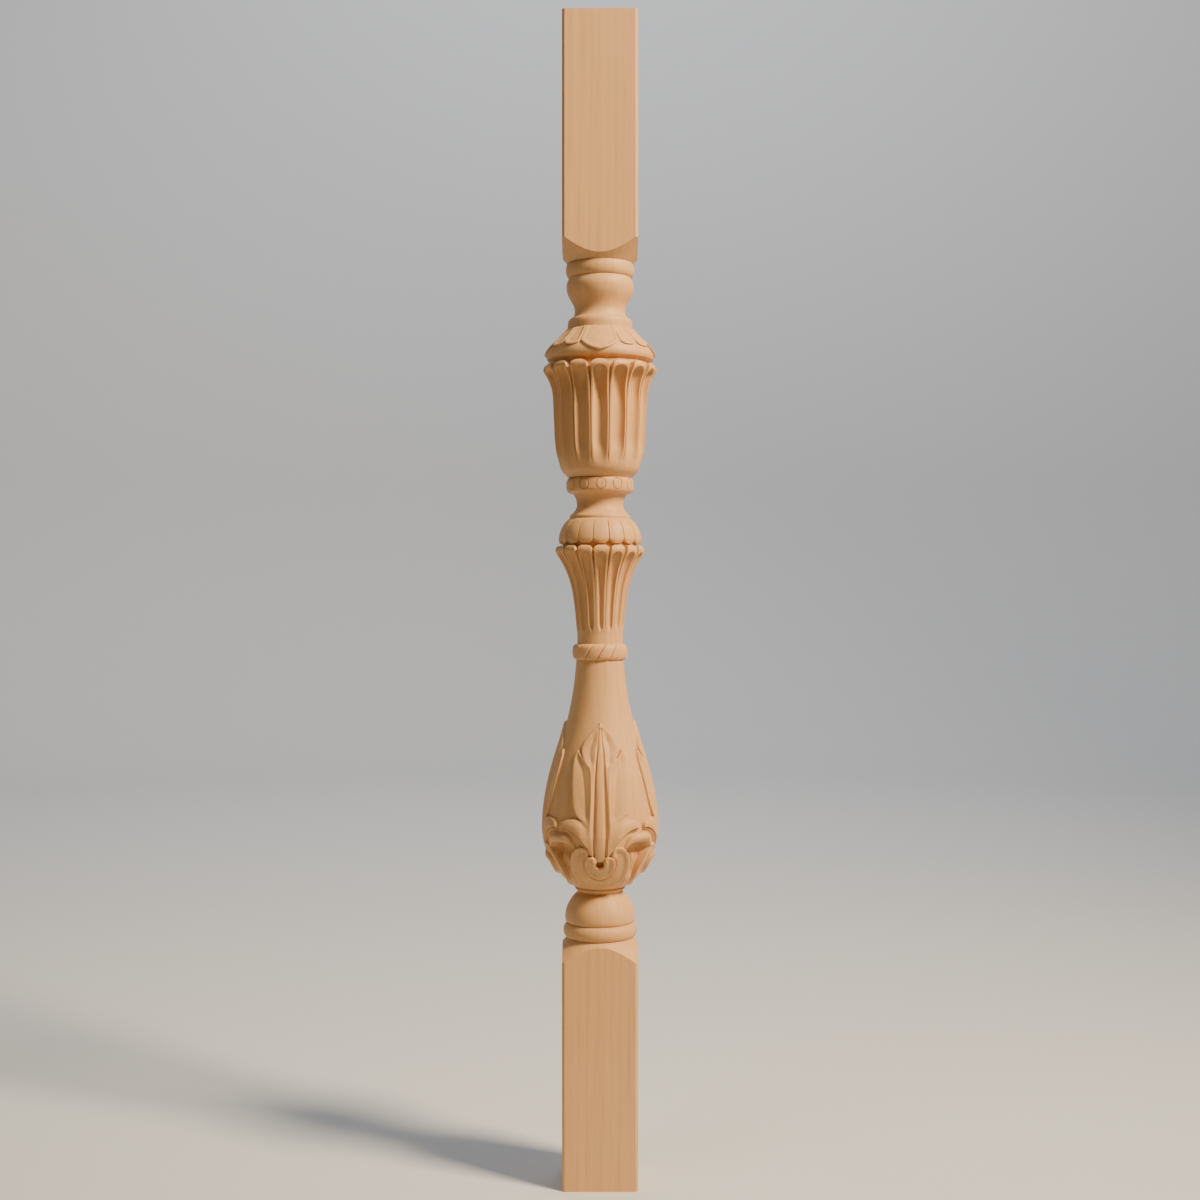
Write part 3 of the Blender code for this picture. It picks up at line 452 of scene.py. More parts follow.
class Studio(PropertyGroup):
    """Floor, lights and camera."""

    floor: colour("Floor", (0.66, 0.655, 0.64), "Colour of the floor and backdrop")
    floor_radius: length("Floor radius", 3.0, "Radius of the flat floor", 1.0, 5.0)
    camera_distance: length("Camera distance", 1.283, "Distance of the camera from the axis", 0.2, 3.0)
    camera_height: length("Camera height", 0.450, "Height of the level camera", 0.0, 2.0)
    lens: FloatProperty(name="Lens", description="Focal length of the camera", default=49.5, min=10.0,
                        unit="CAMERA")
    key: colour("Key light", (1.0, 0.82, 0.58), "Colour of the key light")
    fill: colour("Fill light", (0.78, 0.88, 1.0), "Colour of the fill light")
    sky: colour("Ambient", (0.90, 0.93, 1.0), "Colour of the light from all round")


class BalusterSettings(PropertyGroup):
    """All settings."""

    turned: PointerProperty(type=TurnedSizes)
    bulb: PointerProperty(type=BulbSizes)
    rope: PointerProperty(type=RopeSizes)
    trumpet: PointerProperty(type=FluteSizes)
    collar: PointerProperty(type=CollarSizes)
    roundels: PointerProperty(type=RoundelSizes)
    cup: PointerProperty(type=FluteSizes)
    dome: PointerProperty(type=DomeSizes)
    finish: PointerProperty(type=Finish)
    studio: PointerProperty(type=Studio)


def mix(low, high, amount):
    """Value at a share of the way from low to high."""
    return low + (high - low) * amount


def ramp(value, low, high):
    """0 below low, 1 above high, and a smooth step between."""
    amount = np.clip((value - low) / (high - low), 0.0, 1.0)
    return amount * amount * (3 - 2 * amount)


def curve(knots, at):
    """Values of a smooth curve through (share, value) knots."""
    shares, values = np.array(knots, float).T
    slopes = np.gradient(values, shares)
    at = np.clip(at, shares[0], shares[-1])
    k = np.clip(np.searchsorted(shares, at, side="right") - 1, 0, len(shares) - 2)
    span = shares[k + 1] - shares[k]
    t = (at - shares[k]) / span
    return ((2 * t ** 3 - 3 * t ** 2 + 1) * values[k] + (t ** 3 - 2 * t ** 2 + t) * span * slopes[k]
            + (3 * t ** 2 - 2 * t ** 3) * values[k + 1] + (t ** 3 - t ** 2) * span * slopes[k + 1])


def straight(knots, at):
    """Values of a broken line through (place, value) knots."""
    return np.interp(at, *np.transpose(knots))


def placed(turn, radius, height):
    """World position of a ring point."""
    turn = math.radians(turn)
    return (radius * math.sin(turn), -radius * math.cos(turn), height)


class Skin:
    """Vertices and faces of one closed skin round the Z axis, gathered ring by ring."""

    def __init__(self):
        self.vertices = []
        self.faces = []

    def add(self, points):
        """Add (angle, radius, height) points and return (angle, vertex) pairs in the same order."""
        first = len(self.vertices)
        self.vertices.extend(placed(*point) for point in points)
        return [(point[0], first + k) for k, point in enumerate(points)]

    def join(self, lower, upper):
        """Skin two rings: point to point if they have as many points, and else by angle."""
        if len(lower) == len(upper):
            for k in range(len(lower)):
                after = (k + 1) % len(lower)
                self.faces.append((lower[k][1], lower[after][1], upper[after][1], upper[k][1]))
        else:
            self.join_by_angle(lower, upper)

    def join_by_angle(self, lower, upper):
        """Skin two rings with triangles, stepping round both by angle."""
        lower = sorted((angle % 360.0, vertex) for angle, vertex in lower)
        upper = sorted((angle % 360.0, vertex) for angle, vertex in upper)
        first = min(range(len(upper)), key=lambda k: abs((upper[k][0] - lower[0][0] + 180) % 360 - 180))
        start = (upper[first][0] - lower[0][0] + 180) % 360 - 180 + lower[0][0]

        def low(k):
            turns, index = divmod(k, len(lower))
            return lower[index][0] + 360 * turns, lower[index][1]

        def high(k):
            turns, index = divmod(first + k, len(upper))
            return upper[index][0] + 360 * turns - upper[first][0] + start, upper[index][1]

        i = j = 0
        while i < len(lower) or j < len(upper):
            if j >= len(upper) or (i < len(lower) and low(i + 1)[0] < high(j + 1)[0]):
                self.faces.append((low(i)[1], low(i + 1)[1], high(j)[1]))
                i += 1
            else:
                self.faces.append((low(i)[1], high(j + 1)[1], high(j)[1]))
                j += 1

    def stack(self, rings):
        """Skin a stack of rings and return its first and last."""
        added = [self.add(ring) for ring in rings]
        for lower, upper in zip(added, added[1:]):
            self.join(lower, upper)
        return added[0], added[-1]

    def mesh(self, name):
        """The welded mesh, smooth but for its crisp edges."""
        mesh = bpy.data.meshes.new(name)
        mesh.from_pydata(self.vertices, [], self.faces)
        bm = bmesh.new()
        bm.from_mesh(mesh)
        bmesh.ops.remove_doubles(bm, verts=bm.verts, dist=WELD_DISTANCE)
        bmesh.ops.recalc_face_normals(bm, faces=bm.faces)
        bm.to_mesh(mesh)
        bm.free()
        mesh.shade_smooth()
        mesh.set_sharp_from_angle(angle=math.radians(SHARP_ANGLE))
        return mesh


def circle(height, radius, phase=0.0):
    """One plain round ring."""
    return [(phase + 360.0 * k / PLAIN_COLUMNS, radius, height) for k in range(PLAIN_COLUMNS)]


def bead(base, height, foot, radius, top):
    """Rings of a convex moulding: two rounded quarters that meet at half its height."""
    rings = []
    for step in range(BEAD_ROWS + 1):
        turn = math.pi * step / BEAD_ROWS
        end = foot if step < BEAD_ROWS / 2 else top
        swell = math.sin(turn) ** BEAD_FULLNESS
        rings.append(circle(base + height * (1 - math.cos(turn)) / 2, mix(end, radius, swell)))
    return rings


def repeated(repeats, phase, pattern):
    """A ring of one pattern of (share of the pitch, radius, height) repeated round the axis."""
    pitch = 360.0 / repeats
    return [(math.degrees(phase) + pitch * (k + at), radius, height)
            for k in range(repeats) for at, radius, height in pattern]


def block_corner(sizes):
    """Angle from a side's middle to the edge where its corner chamfer starts."""
    half = sizes.block_side / 2
    return math.degrees(math.atan((half - sizes.block_chamfer) / half))


def block_radius(sizes, turn):
    """Distance from the axis to a side of the square block, at an angle from that side's middle."""
    return sizes.block_side / 2 / math.cos(math.radians(turn))


def skin_block(skin, sizes, end_height, square_end, shoulder_rise, neck_radius):
    """Add a square block and return the curved edge that its turned shoulder leaves on it.

    square_end is the height where the corners end, and shoulder_rise the
    signed height from there to the neck.
    """
    corner = block_corner(sizes)
    corner_radius = block_radius(sizes, corner)
    slope = shoulder_rise / (corner_radius - neck_radius)
    end_ring, arc_ring = [], []
    for side in SIDES:
        end_ring += [(side + sign * corner, corner_radius, end_height) for sign in (-1, 1)]
        for step in range(-ARC_STEPS, ARC_STEPS + 1):
            turn = corner * step / ARC_STEPS
            radius = block_radius(sizes, turn)
            arc_ring.append((side + turn, radius, square_end + slope * (corner_radius - radius)))
    ends, arcs = skin.add(end_ring), skin.add(arc_ring)
    arc_length = 2 * ARC_STEPS + 1
    for side in range(len(SIDES)):
        arc = [vertex for _, vertex in arcs[side * arc_length:(side + 1) * arc_length]]
        left, right = ends[2 * side][1], ends[2 * side + 1][1]
        next_left = ends[(2 * side + 2) % len(ends)][1]
        next_arc = arcs[(side + 1) * arc_length % len(arcs)][1]
        skin.faces.append((left, right, *reversed(arc)))
        skin.faces.append((right, next_left, next_arc, arc[-1]))
    skin.faces.append([vertex for _, vertex in ends])
    return arcs


def bulb_ground(sizes, height):
    """Radius of the bulb's ground under the carving, at heights above its foot, all in millimetres."""
    belly = BULB_BELLY_HEIGHT / MM
    lower = curve(BULB_LOWER_PROFILE, height / belly)
    upper = curve(BULB_UPPER_PROFILE, (height - belly) / (MOULDINGS["bulb"] / MM - belly))
    below = mix(sizes.foot_radius, sizes.radius, lower)
    above = mix(sizes.neck_radius, sizes.radius, upper)
    return np.where(height < belly, below, above) / MM


def smooth_line(knots, spacing):
    """Evenly spaced points on a smooth curve through flat knots."""
    knots = np.asarray(knots, float)
    at = np.concatenate([[0], np.cumsum(np.hypot(*np.diff(knots, axis=0).T))])
    fine = np.linspace(0, at[-1], max(3, int(8 * at[-1] / spacing)))
    line = np.column_stack([curve(np.column_stack([at, axis]), fine) for axis in knots.T])
    run = np.concatenate([[0], np.cumsum(np.hypot(*np.diff(line, axis=0).T))])
    even = np.linspace(0, run[-1], max(2, round(run[-1] / spacing) + 1))
    return np.column_stack([np.interp(even, run, axis) for axis in line.T])


class Patch:
    """Half a pattern of a carved band, laid flat in millimetres.

    A flat point is the arc length from the pattern's middle, at the band's
    widest radius, and the height above the moulding's foot. The lines are
    kept as edges of the mesh, with rows of points beside them.
    """

    def __init__(self, radius, half_angle, foot, top, ground, spacing):
        self.radius = radius
        self.half_angle = half_angle
        self.width = math.radians(half_angle) * radius
        self.foot, self.top = foot, top
        self.ground = ground
        self.spacing = spacing
        self.lines = []
        self.beside = []

    def flat(self, knots):
        """Outline points of (degrees, mm) laid flat."""
        return [(math.radians(turn) * self.radius, height) for turn, height in knots]

    def line(self, knots, offsets=()):
        """Keep a smooth line in the mesh, with rows of points at signed distances beside it."""
        line = smooth_line(self.flat(knots), self.spacing * LINE_FINENESS)
        self.lines.append(line)
        for offset in offsets:
            self.beside.append(self.moved(line, offset))
        return line

    def outline(self, strokes, offsets=()):
        """Keep an outline of strokes that meet at corners, and return it as one line."""
        lines = [self.line(stroke, offsets) for stroke in strokes]
        return np.concatenate([lines[0]] + [line[1:] for line in lines[1:]])

    def moved(self, line, offset):
        """A line moved sideways: to its left where the offset is positive."""
        stretch = (self.ground(line[:, 1]) / self.radius)[:, None]
        along = np.gradient(line, axis=0)
        along[:, 0] *= stretch[:, 0]
        along /= np.hypot(*along.T)[:, None]
        side = np.column_stack([-along[:, 1], along[:, 0]]) * offset
        side[:, 0] /= stretch[:, 0]
        return line + side

    def distance(self, points, line):
        """Distance of flat points from a line, with arc lengths as they are at each point's height."""
        stretch = (self.ground(points[:, 1]) / self.radius)[:, None]
        start, step = line[:-1], np.diff(line, axis=0)
        to_x = (points[:, :1] - start[:, 0]) * stretch
        to_y = points[:, 1:] - start[:, 1]
        step_x, step_y = step[:, 0] * stretch, step[:, 1]
        along = np.clip((to_x * step_x + to_y * step_y) / (step_x ** 2 + step_y ** 2), 0, 1)
        return np.hypot(to_x - step_x * along, to_y - step_y * along).min(axis=1)

    def inside(self, points, outline):
        """Whether flat points lie inside an outline, which is closed along the pattern's middle."""
        crossings = np.zeros(len(points), int)
        for (x0, y0), (x1, y1) in zip(outline, np.roll(outline, -1, axis=0)):
            if y0 != y1:
                spans = (y0 > points[:, 1]) != (y1 > points[:, 1])
                crossings += spans & (points[:, 0] < x0 + (x1 - x0) * (points[:, 1] - y0) / (y1 - y0))
        return crossings % 2 == 1

    def inset(self, points, outline):
        """Signed distance of flat points from an outline, positive inside."""
        return np.where(self.inside(points, outline), 1, -1) * self.distance(points, outline)

    def border(self, columns):
        """The closed border, with as many columns at its foot and top as the rings next to it."""
        across = np.linspace(0, self.width, columns + 1)
        rows = np.linspace(self.foot, self.top, round((self.top - self.foot) / self.spacing) + 1)[1:-1]
        foot = [(x, self.foot) for x in across]
        right = [(self.width, y) for y in rows]
        top = [(x, self.top) for x in across[::-1]]
        left = [(0.0, y) for y in rows[::-1]]
        return np.array(foot + right + top + left)

    def kept(self, points):
        """Points in the patch, with those beside a seam moved onto it."""
        snap = self.spacing * 0.35
        x, y = points[:, 0].copy(), points[:, 1]
        x[np.abs(x) < snap] = 0.0
        x[np.abs(x - self.width) < snap] = self.width
        within = (x >= 0) & (x <= self.width) & (y > self.foot) & (y < self.top)
        return np.column_stack([x, y]), within

    def triangles(self, columns):
        """Points and triangles of the patch."""
        points, edges = [], []

        def add(line, closed=False):
            first = len(points)
            points.extend(map(tuple, line))
            edges.extend((k, k + 1) for k in range(first, len(points) - 1))
            if closed:
                edges.append((len(points) - 1, first))

        add(self.border(columns), closed=True)
        for line in self.lines:
            line, within = self.kept(line)
            add(line[within])
        for candidates, clearance in ((self.beside, 0.36), ([self.filling()], 0.72)):
            tree = KDTree(len(points))
            for k, (x, y) in enumerate(points):
                tree.insert((x * self.ground(np.array([y]))[0] / self.radius, y, 0), k)
            tree.balance()
            for row in candidates:
                row, within = self.kept(row)
                row = row[within]
                stretch = self.ground(row[:, 1]) / self.radius
                for (x, y), scale in zip(row, stretch):
                    if tree.find((x * scale, y, 0))[2] > clearance * self.spacing:
                        points.append((x, y))
        flat, _, faces, _, _, _ = delaunay_2d_cdt([Vector(p) for p in points], edges, [], 0, 0.02)
        return np.array([tuple(p) for p in flat]), faces

    def filling(self):
        """Staggered points that fill the patch evenly."""
        rows = []
        for k, y in enumerate(np.arange(self.foot, self.top, self.spacing * 0.87)):
            step = self.spacing * self.radius / self.ground(np.array([y]))[0]
            x = np.arange(step * (0.5 if k % 2 else 0.0), self.width, step)
            rows.append(np.column_stack([x, np.full(len(x), y)]))
        return np.concatenate(rows)

    def carve(self, skin, base, relief, repeats, phase=0.0):
        """Shape the patch by its relief and repeat it round the axis."""
        columns = round(PLAIN_COLUMNS / (2 * repeats))
        flat, faces = self.triangles(columns)
        height = relief(flat)
        on_border = (flat[:, 1] <= self.foot + TINY) | (flat[:, 1] >= self.top - TINY)
        radii = (self.ground(flat[:, 1]) + np.where(on_border, 0, height)) * MM
        turns = np.degrees(flat[:, 0] / self.radius)
        heights = base + flat[:, 1] * MM
        for repeat in range(repeats):
            for hand in (1, -1):
                middle = phase + 360.0 * repeat / repeats
                added = skin.add(list(zip(middle + hand * turns, radii, heights)))
                skin.faces.extend([added[k][1] for k in face[::hand]] for face in faces)


def plate(inset, relief, wall, edge_drop, edge_width):
    """Height of a raised plate: a steep wall outside its outline, and a rounded edge inside."""
    rise = np.clip(1 + inset / wall, 0, 1)
    drop = edge_drop * (1 - np.clip(inset / edge_width, 0, 1)) ** 2
    return rise * (relief - drop)


def rounded(distance, half_width):
    """Cross-section of a round bar: 1 on its middle line, 0 at its half width."""
    return np.sqrt(np.clip(1 - (distance / half_width) ** 2, 0, 1))


def notch(distance, half_width):
    """Cross-section of a V-shaped cut: 1 on its middle line, 0 at its half width."""
    return np.clip(1 - distance / half_width, 0, 1)


def carve_bulb(skin, sizes, base):
    """The band of leaves, curls and shells round the bulb."""

    def ground(height):
        return bulb_ground(sizes, height)

    patch = Patch(sizes.radius / MM, HALF_SIDE_ANGLE, BULB_BAND_FOOT / MM, BULB_BAND_TOP / MM, ground,
                  sizes.spacing / MM)
    leaf = patch.outline(LEAF_STROKES, (WALL, -SHOULDER))
    top_valley = patch.line(TOP_VALLEY, BESIDE)
    side_valley = patch.line(SIDE_VALLEY, BESIDE)
    crest = patch.line(INNER_CREST, BESIDE)
    groove = patch.line(MIDRIB_GROOVE, (0.5, -0.5, 1.2, -1.2))
    underside = smooth_line(patch.flat(LEAF_UNDERSIDE), patch.spacing)
    patch.beside += [patch.moved(underside, -offset) for offset in (1.3, 1.8)]
    lobe_crest = smooth_line(patch.flat(LOBE_CREST), patch.spacing)
    curl_top = patch.line(CURL_TOP, (0.45, -0.5, -1.2))
    curl_underside = patch.line(CURL_UNDERSIDE, (-0.45, 0.5, 1.2))
    beyond = (patch.width + 1, 0)
    curl = np.concatenate([curl_top, [curl_top[-1] + beyond], [curl_underside[-1] + beyond],
                           curl_underside[::-1]])
    side_rib = patch.line(SIDE_RIB, (*BESIDE, 1.2, -1.2))
    middle_rib = np.array(patch.flat(MIDDLE_RIB))
    shell = patch.outline((SHELL_OUTLINE,), (-WALL, SHOULDER))
    small_shell = patch.outline((SMALL_SHELL_OUTLINE,), (-WALL, SHOULDER))
    hole = patch.outline((HOLE_OUTLINE,), (-0.4, 0.4))
    hole_rim = patch.line(HOLE_RIM, BESIDE)
    crease = patch.line(FOOT_CREASE, (*BESIDE, -1.2))

    def degrees(points):
        return np.degrees(points[:, 0] / patch.radius)

    def turn_on(line, y):
        """Angle of a carved line at heights y."""
        return np.interp(y, [knot[1] for knot in line[::-1]], [knot[0] for knot in line[::-1]])

    def valley_drop(points, valley, bounds, depth):
        """Depth of a V that falls from its bounds to its middle line, and is shallow where it is narrow."""
        to_valley = patch.distance(points, valley)
        across = to_valley + bounds + TINY
        return depth / MM * (1 - to_valley / across) * np.clip(across / 3.5, 0, 1)

    def leaf_height(points):
        relief = sizes.leaf_relief / MM
        inset = patch.inset(points, leaf)
        turn, y = degrees(points), points[:, 1]
        edge = np.abs(inset)
        to_crest, to_groove = patch.distance(points, crest), patch.distance(points, groove)
        in_side = (turn > turn_on(INNER_CREST, y)) & (y < straight(SIDE_LOBE_TOP, turn))
        side = valley_drop(points, side_valley, np.minimum(edge, to_crest), sizes.valley_depth)
        top = valley_drop(points, top_valley, np.minimum(edge, to_groove), sizes.top_valley_depth)
        groove_turn = turn_on(MIDRIB_GROOVE, y)
        in_top = ~in_side & (turn > groove_turn)
        surface = relief - 0.3 * (1 - np.clip(edge / 1.1, 0, 1)) ** 2
        surface -= in_side * side * ramp(y, *SIDE_VALLEY_FADE)
        surface -= in_top * top * ramp(y, *TOP_VALLEY_FADE)
        surface += 0.3 * np.clip(1 - to_crest / 0.8, 0, 1)
        surface -= 0.7 * np.clip(turn / groove_turn, 0, 1) ** 2 * (turn < groove_turn)
        lobe = LOBE_EDGE + LOBE_SWELL * rounded(patch.distance(points, lobe_crest), LOBE_HALF_WIDTH)
        surface = mix(surface, lobe, ramp(turn, 11, 20) * (1 - ramp(y, 55, 64)))
        ledge = straight(UNDERSIDE_LEDGE, patch.distance(points, underside))
        surface = np.where((y < 54) & (turn > 12), np.minimum(surface, ledge), surface)
        deep = straight(GROOVE_SHARE, y) * sizes.groove_depth / MM
        surface -= deep * (1 - np.clip(to_groove / straight(GROOVE_HALF_WIDTH, y), 0, 1) ** 2)
        return np.where(inset > -WALL, np.clip(1 + inset / WALL, 0, 1) * surface, 0)

    def curl_height(points):
        to_top, to_underside = patch.distance(points, curl_top), patch.distance(points, curl_underside)
        across = to_top / (to_top + to_underside + TINY)
        height = np.interp(degrees(points), (26, 36), (0.5, 1)) * sizes.curl_relief / MM
        return np.where(patch.inside(points, curl), height * np.sin(math.pi * across) ** 0.6, 0)

    def shell_height(inset, height, dish):
        """A dished shell with a rolled rim."""
        return plate(inset, height / MM, WALL, 0.3, 1.0) - dish * ramp(inset, *DISH_SLOPE)

    def relief(points):
        turn, y = degrees(points), points[:, 1]
        pocket = ramp(turn, *POCKET_SIDE) * (1 - ramp(y, *POCKET_TOP)) * ramp(y, *POCKET_FOOT)
        rib = sizes.rib_relief / MM * np.maximum(
            rounded(patch.distance(points, middle_rib), straight(MIDDLE_RIB_HALF_WIDTH, y)),
            SIDE_RIB_SHARE * rounded(patch.distance(points, side_rib), straight(SIDE_RIB_HALF_WIDTH, y)))
        deeper = 1 + POCKET_DEEPER * ramp(y, *POCKET_DEEPENING)
        carved = rib * ramp(y, 5, 12) * (1 - ramp(y, 31, 37)) - sizes.pocket_depth / MM * pocket * deeper
        for cut in EYE_CUTS:
            to_cut = patch.distance(points, np.array(patch.flat(cut)))
            carved = carved - EYE_CUT_DEPTH * notch(to_cut, EYE_CUT_HALF_WIDTH)
        crease_depth = sizes.crease_depth / MM
        carved = carved - crease_depth * notch(patch.distance(points, crease), CREASE_HALF_WIDTH)
        leaf_in = patch.inset(points, leaf)
        on_leaf = np.clip(1 + leaf_in / WALL, 0, 1)
        carved = np.where(leaf_in > -WALL, mix(carved, leaf_height(points), on_leaf), carved)
        curled = curl_height(points)
        carved = np.where(curled > 0, np.maximum(carved, curled), carved)
        shell_in = patch.inset(points, shell)
        shell_top = shell_height(shell_in, sizes.shell_relief, SHELL_DISH)
        carved = np.where(shell_in > -WALL, np.maximum(carved * (shell_in < 0), shell_top), carved)
        small_in = patch.inset(points, small_shell)
        beside = notch(np.abs(small_in + SHELL_CREASE_PLACE), SHELL_CREASE_HALF_WIDTH)
        carved = carved - crease_depth * beside * (shell_in > SHELL_CREASE_PLACE)
        small_top = shell_height(small_in, sizes.small_shell_relief, SMALL_SHELL_DISH)
        carved = np.where(small_in > -WALL, np.maximum(carved * (small_in < 0), small_top), carved)
        lip = rounded(patch.distance(points, hole_rim), HOLE_LIP_HALF_WIDTH) * (small_in > 0)
        carved = carved + HOLE_LIP * lip
        hole_in = patch.inset(points, hole)
        return np.where(hole_in > 0, mix(carved, -HOLE_DEPTH, ramp(hole_in, 0, 0.5)), carved)

    patch.carve(skin, base, relief, len(SIDES))


def carve_dome(skin, sizes, base):
    """The band of petals on the dome."""

    def ground(height):
        swell = curve(DOME_PROFILE, height * MM / MOULDINGS["dome"])
        return mix(sizes.top_radius, sizes.radius, swell) / MM

    patch = Patch(sizes.radius / MM, HALF_SIDE_ANGLE, DOME_BAND_FOOT / MM, DOME_BAND_TOP / MM, ground,
                  PETAL_SPACING)
    top = DOME_BAND_TOP / MM
    wide_side = ((22, WIDE_PETAL[-1][1]), (22, top))
    beside = (-PETAL_WALL, 0.7, 1.4)
    wide = patch.outline((WIDE_PETAL, wide_side), beside)
    short = patch.outline((((23, top), (23, SHORT_PETAL[0][1])), SHORT_PETAL,
                           ((44.5, SHORT_PETAL[-1][1]), (44.5, top))), beside)
    wide = np.concatenate([wide, [(0, top)]])

    def petal(inset, dish):
        rim = sizes.rim / MM
        dished = dish / MM * ramp(inset, rim * 0.6, rim * 2.2)
        raised = plate(inset, sizes.relief / MM, PETAL_WALL, 0.35, 0.6)
        return np.where(inset > -PETAL_WALL, raised - dished, 0)

    def relief(points):
        wide_in = np.where(patch.inside(points, wide), 1, -1) * patch.distance(points, wide[:-1])
        return np.maximum(petal(wide_in, 0.6 * sizes.dish), petal(patch.inset(points, short), sizes.dish))

    patch.carve(skin, base, relief, len(SIDES))


def carve_roundels(skin, sizes, turned_sizes, base, cup_foot_radius):
    """The bead of roundels, each cut round with a thin line."""
    height_mm = MOULDINGS["roundel_ring"] / MM
    margin = ROUNDEL_MARGIN / MM

    def ground(height):
        at = height / height_mm
        lower = mix(turned_sizes.scotia_top, sizes.radius, curve(ROUNDEL_LOWER_PROFILE, at))
        upper = mix(cup_foot_radius, sizes.radius, curve(ROUNDEL_UPPER_PROFILE, at))
        return np.where(at < 0.5, lower, upper) / MM

    half_angle = 180 / sizes.roundels
    patch = Patch(sizes.radius / MM, half_angle, margin, height_mm - margin, ground, ROUNDEL_SPACING)
    middle = height_mm * ROUNDEL_MIDDLE
    turns = np.linspace(0, math.pi, ROUNDEL_STEPS + 1)
    half_width, half_height = sizes.half_width / MM, sizes.half_height / MM
    ring = np.column_stack([half_width * np.sin(turns), middle + half_height * np.cos(turns)])
    patch.lines.append(ring)
    for offset in (ROUNDEL_CUT_HALF_WIDTH, -ROUNDEL_CUT_HALF_WIDTH):
        patch.beside.append(patch.moved(ring, offset))

    def relief(points):
        cut = notch(patch.distance(points, ring), ROUNDEL_CUT_HALF_WIDTH)
        boss = ROUNDEL_BOSS * ramp(patch.inset(points, ring), 0, 1.5)
        return boss - sizes.cut_depth / MM * cut

    patch.carve(skin, base, relief, sizes.roundels, math.degrees(sizes.phase))


def flute_section(u, half_width, depth):
    """Depth of a scooped flute at a share u of its half width: an arc of a circle."""
    arc = (half_width ** 2 + depth ** 2) / (2 * depth)
    return math.sqrt(max(arc ** 2 - (u * half_width) ** 2, 0)) - (arc - depth)


def fluted(base, height, sizes, profile, rows):
    """Rings of a fluted body, from the foot of its flutes to the tops of their hoods.

    Each flute has a hollow with a rim on both sides, and a cut lies between
    the rims of two flutes. The hollow ends in an arch under the hood.
    """
    scoop = (*(-u for u in reversed(HALF_SCOOP)), 0, *HALF_SCOOP)
    pitch_angle = 2 * math.pi / sizes.flutes
    hood_half, corner_share = sizes.hood_width / 2, sizes.hood_corner / (pitch_angle * sizes.lip_radius)
    arch_half = sizes.top_width / 2 * pitch_angle * sizes.lip_radius
    foot, top = base + height * sizes.fade, base + height

    def radius_at(level):
        return sizes.lip_radius * float(curve(profile, (level - base) / height))

    def arch_height(u):
        fall = 1 - math.sqrt(max(0.0, 1 - u * u))
        return base + height * sizes.arch - arch_half * sizes.arch_rise * fall

    def hood_height(at):
        turn = min(1.0, max(0.0, (abs(at) - hood_half + corner_share) / corner_share))
        fall = 1 - math.sqrt(1 - turn * turn)
        return top - sizes.hood_drop - (sizes.hood_corner - sizes.hood_drop) * fall

    def columns(half, edge):
        """(share of the pitch, share of the hollow's half width) of each column but the cut."""
        outer = 0.5 - edge
        rim = mix(half, outer, FLUTE_RIM_SHARE)
        left = [(-outer, 1), (-rim, 1)]
        right = [(rim, 1), (outer, 1)]
        return left + [(u * half, u) for u in scoop] + right

    rings = []
    for row in range(rows + 1):
        t = row / rows
        opened = float(ramp(t, 0, sizes.fade_length))
        half = mix(sizes.mid_width, sizes.top_width, float(ramp(t, 0.55, 1.0))) / 2
        half *= mix(1 - sizes.narrowing, 1, opened ** 0.5)
        edge = float(np.interp(t, (0, 0.7, 0.88, 1), (0.02, 0.024, 0.042, 0.49 - hood_half)))
        depth = mix(sizes.depth, sizes.top_depth, float(ramp(t, 0.55, 0.95))) * opened
        cut = sizes.groove_depth * float(straight(FLUTE_CUT_SHARE, t))
        low = mix(foot, arch_height(1), t)
        pattern = [(-0.5, radius_at(low) - cut, low)]
        for at, u in columns(half, edge):
            level = mix(foot, arch_height(u), t)
            ridge = radius_at(level)
            half_width = half * pitch_angle * ridge
            scooped = flute_section(u, half_width, min(depth, 0.97 * half_width)) if depth > TINY else 0.0
            pattern.append((at, ridge - scooped, level))
        rings.append(repeated(sizes.flutes, sizes.phase, pattern))
    for row in range(HOOD_ROWS + 1):
        q = math.sin(math.pi / 2 * row / HOOD_ROWS)
        low = mix(arch_height(1), top - 1.1 * sizes.hood_corner, q)
        pattern = [(-0.5, radius_at(low) - HOOD_CUT_SHARE * sizes.groove_depth, low)]
        for at, u in columns(sizes.top_width / 2, mix(0.49 - hood_half, 0.5 - hood_half, min(1, 3 * q))):
            level = mix(arch_height(u), hood_height(at), q)
            pattern.append((at, radius_at(level), level))
        rings.append(repeated(sizes.flutes, sizes.phase, pattern))
    pattern = [(at, min(radius, sizes.core_radius), level) for at, radius, level in pattern]
    return rings + [repeated(sizes.flutes, sizes.phase, pattern)]


def rope_rings(base, sizes, foot_radius, top_radius):
    """Rings of the rope ring, whose cuts climb round it."""
    rings = []
    for at in ROPE_LEVELS:
        swell = (1 - abs(2 * at - 1) ** 3.2) ** 0.55 if 0 < at < 1 else 0.0
        neck = foot_radius if at < 0.5 else top_radius
        ground = mix(neck, sizes.radius, swell)
        pattern = []
        for s in STRAND_COLUMNS:
            cut = max(0.0, 1 - (0.5 - abs(s)) / ROPE_CUT_SHARE)
            bulge = ROPE_SWELL * (1 - (2 * abs(s)) ** 2)
            radius = ground + swell * (bulge - ROPE_SWELL - sizes.cut_depth * cut)
            pattern.append((s, radius, base + MOULDINGS["rope"] * at))
        rings.append(repeated(sizes.strands, sizes.phase + sizes.twist * (at - 0.5), pattern))
    return rings


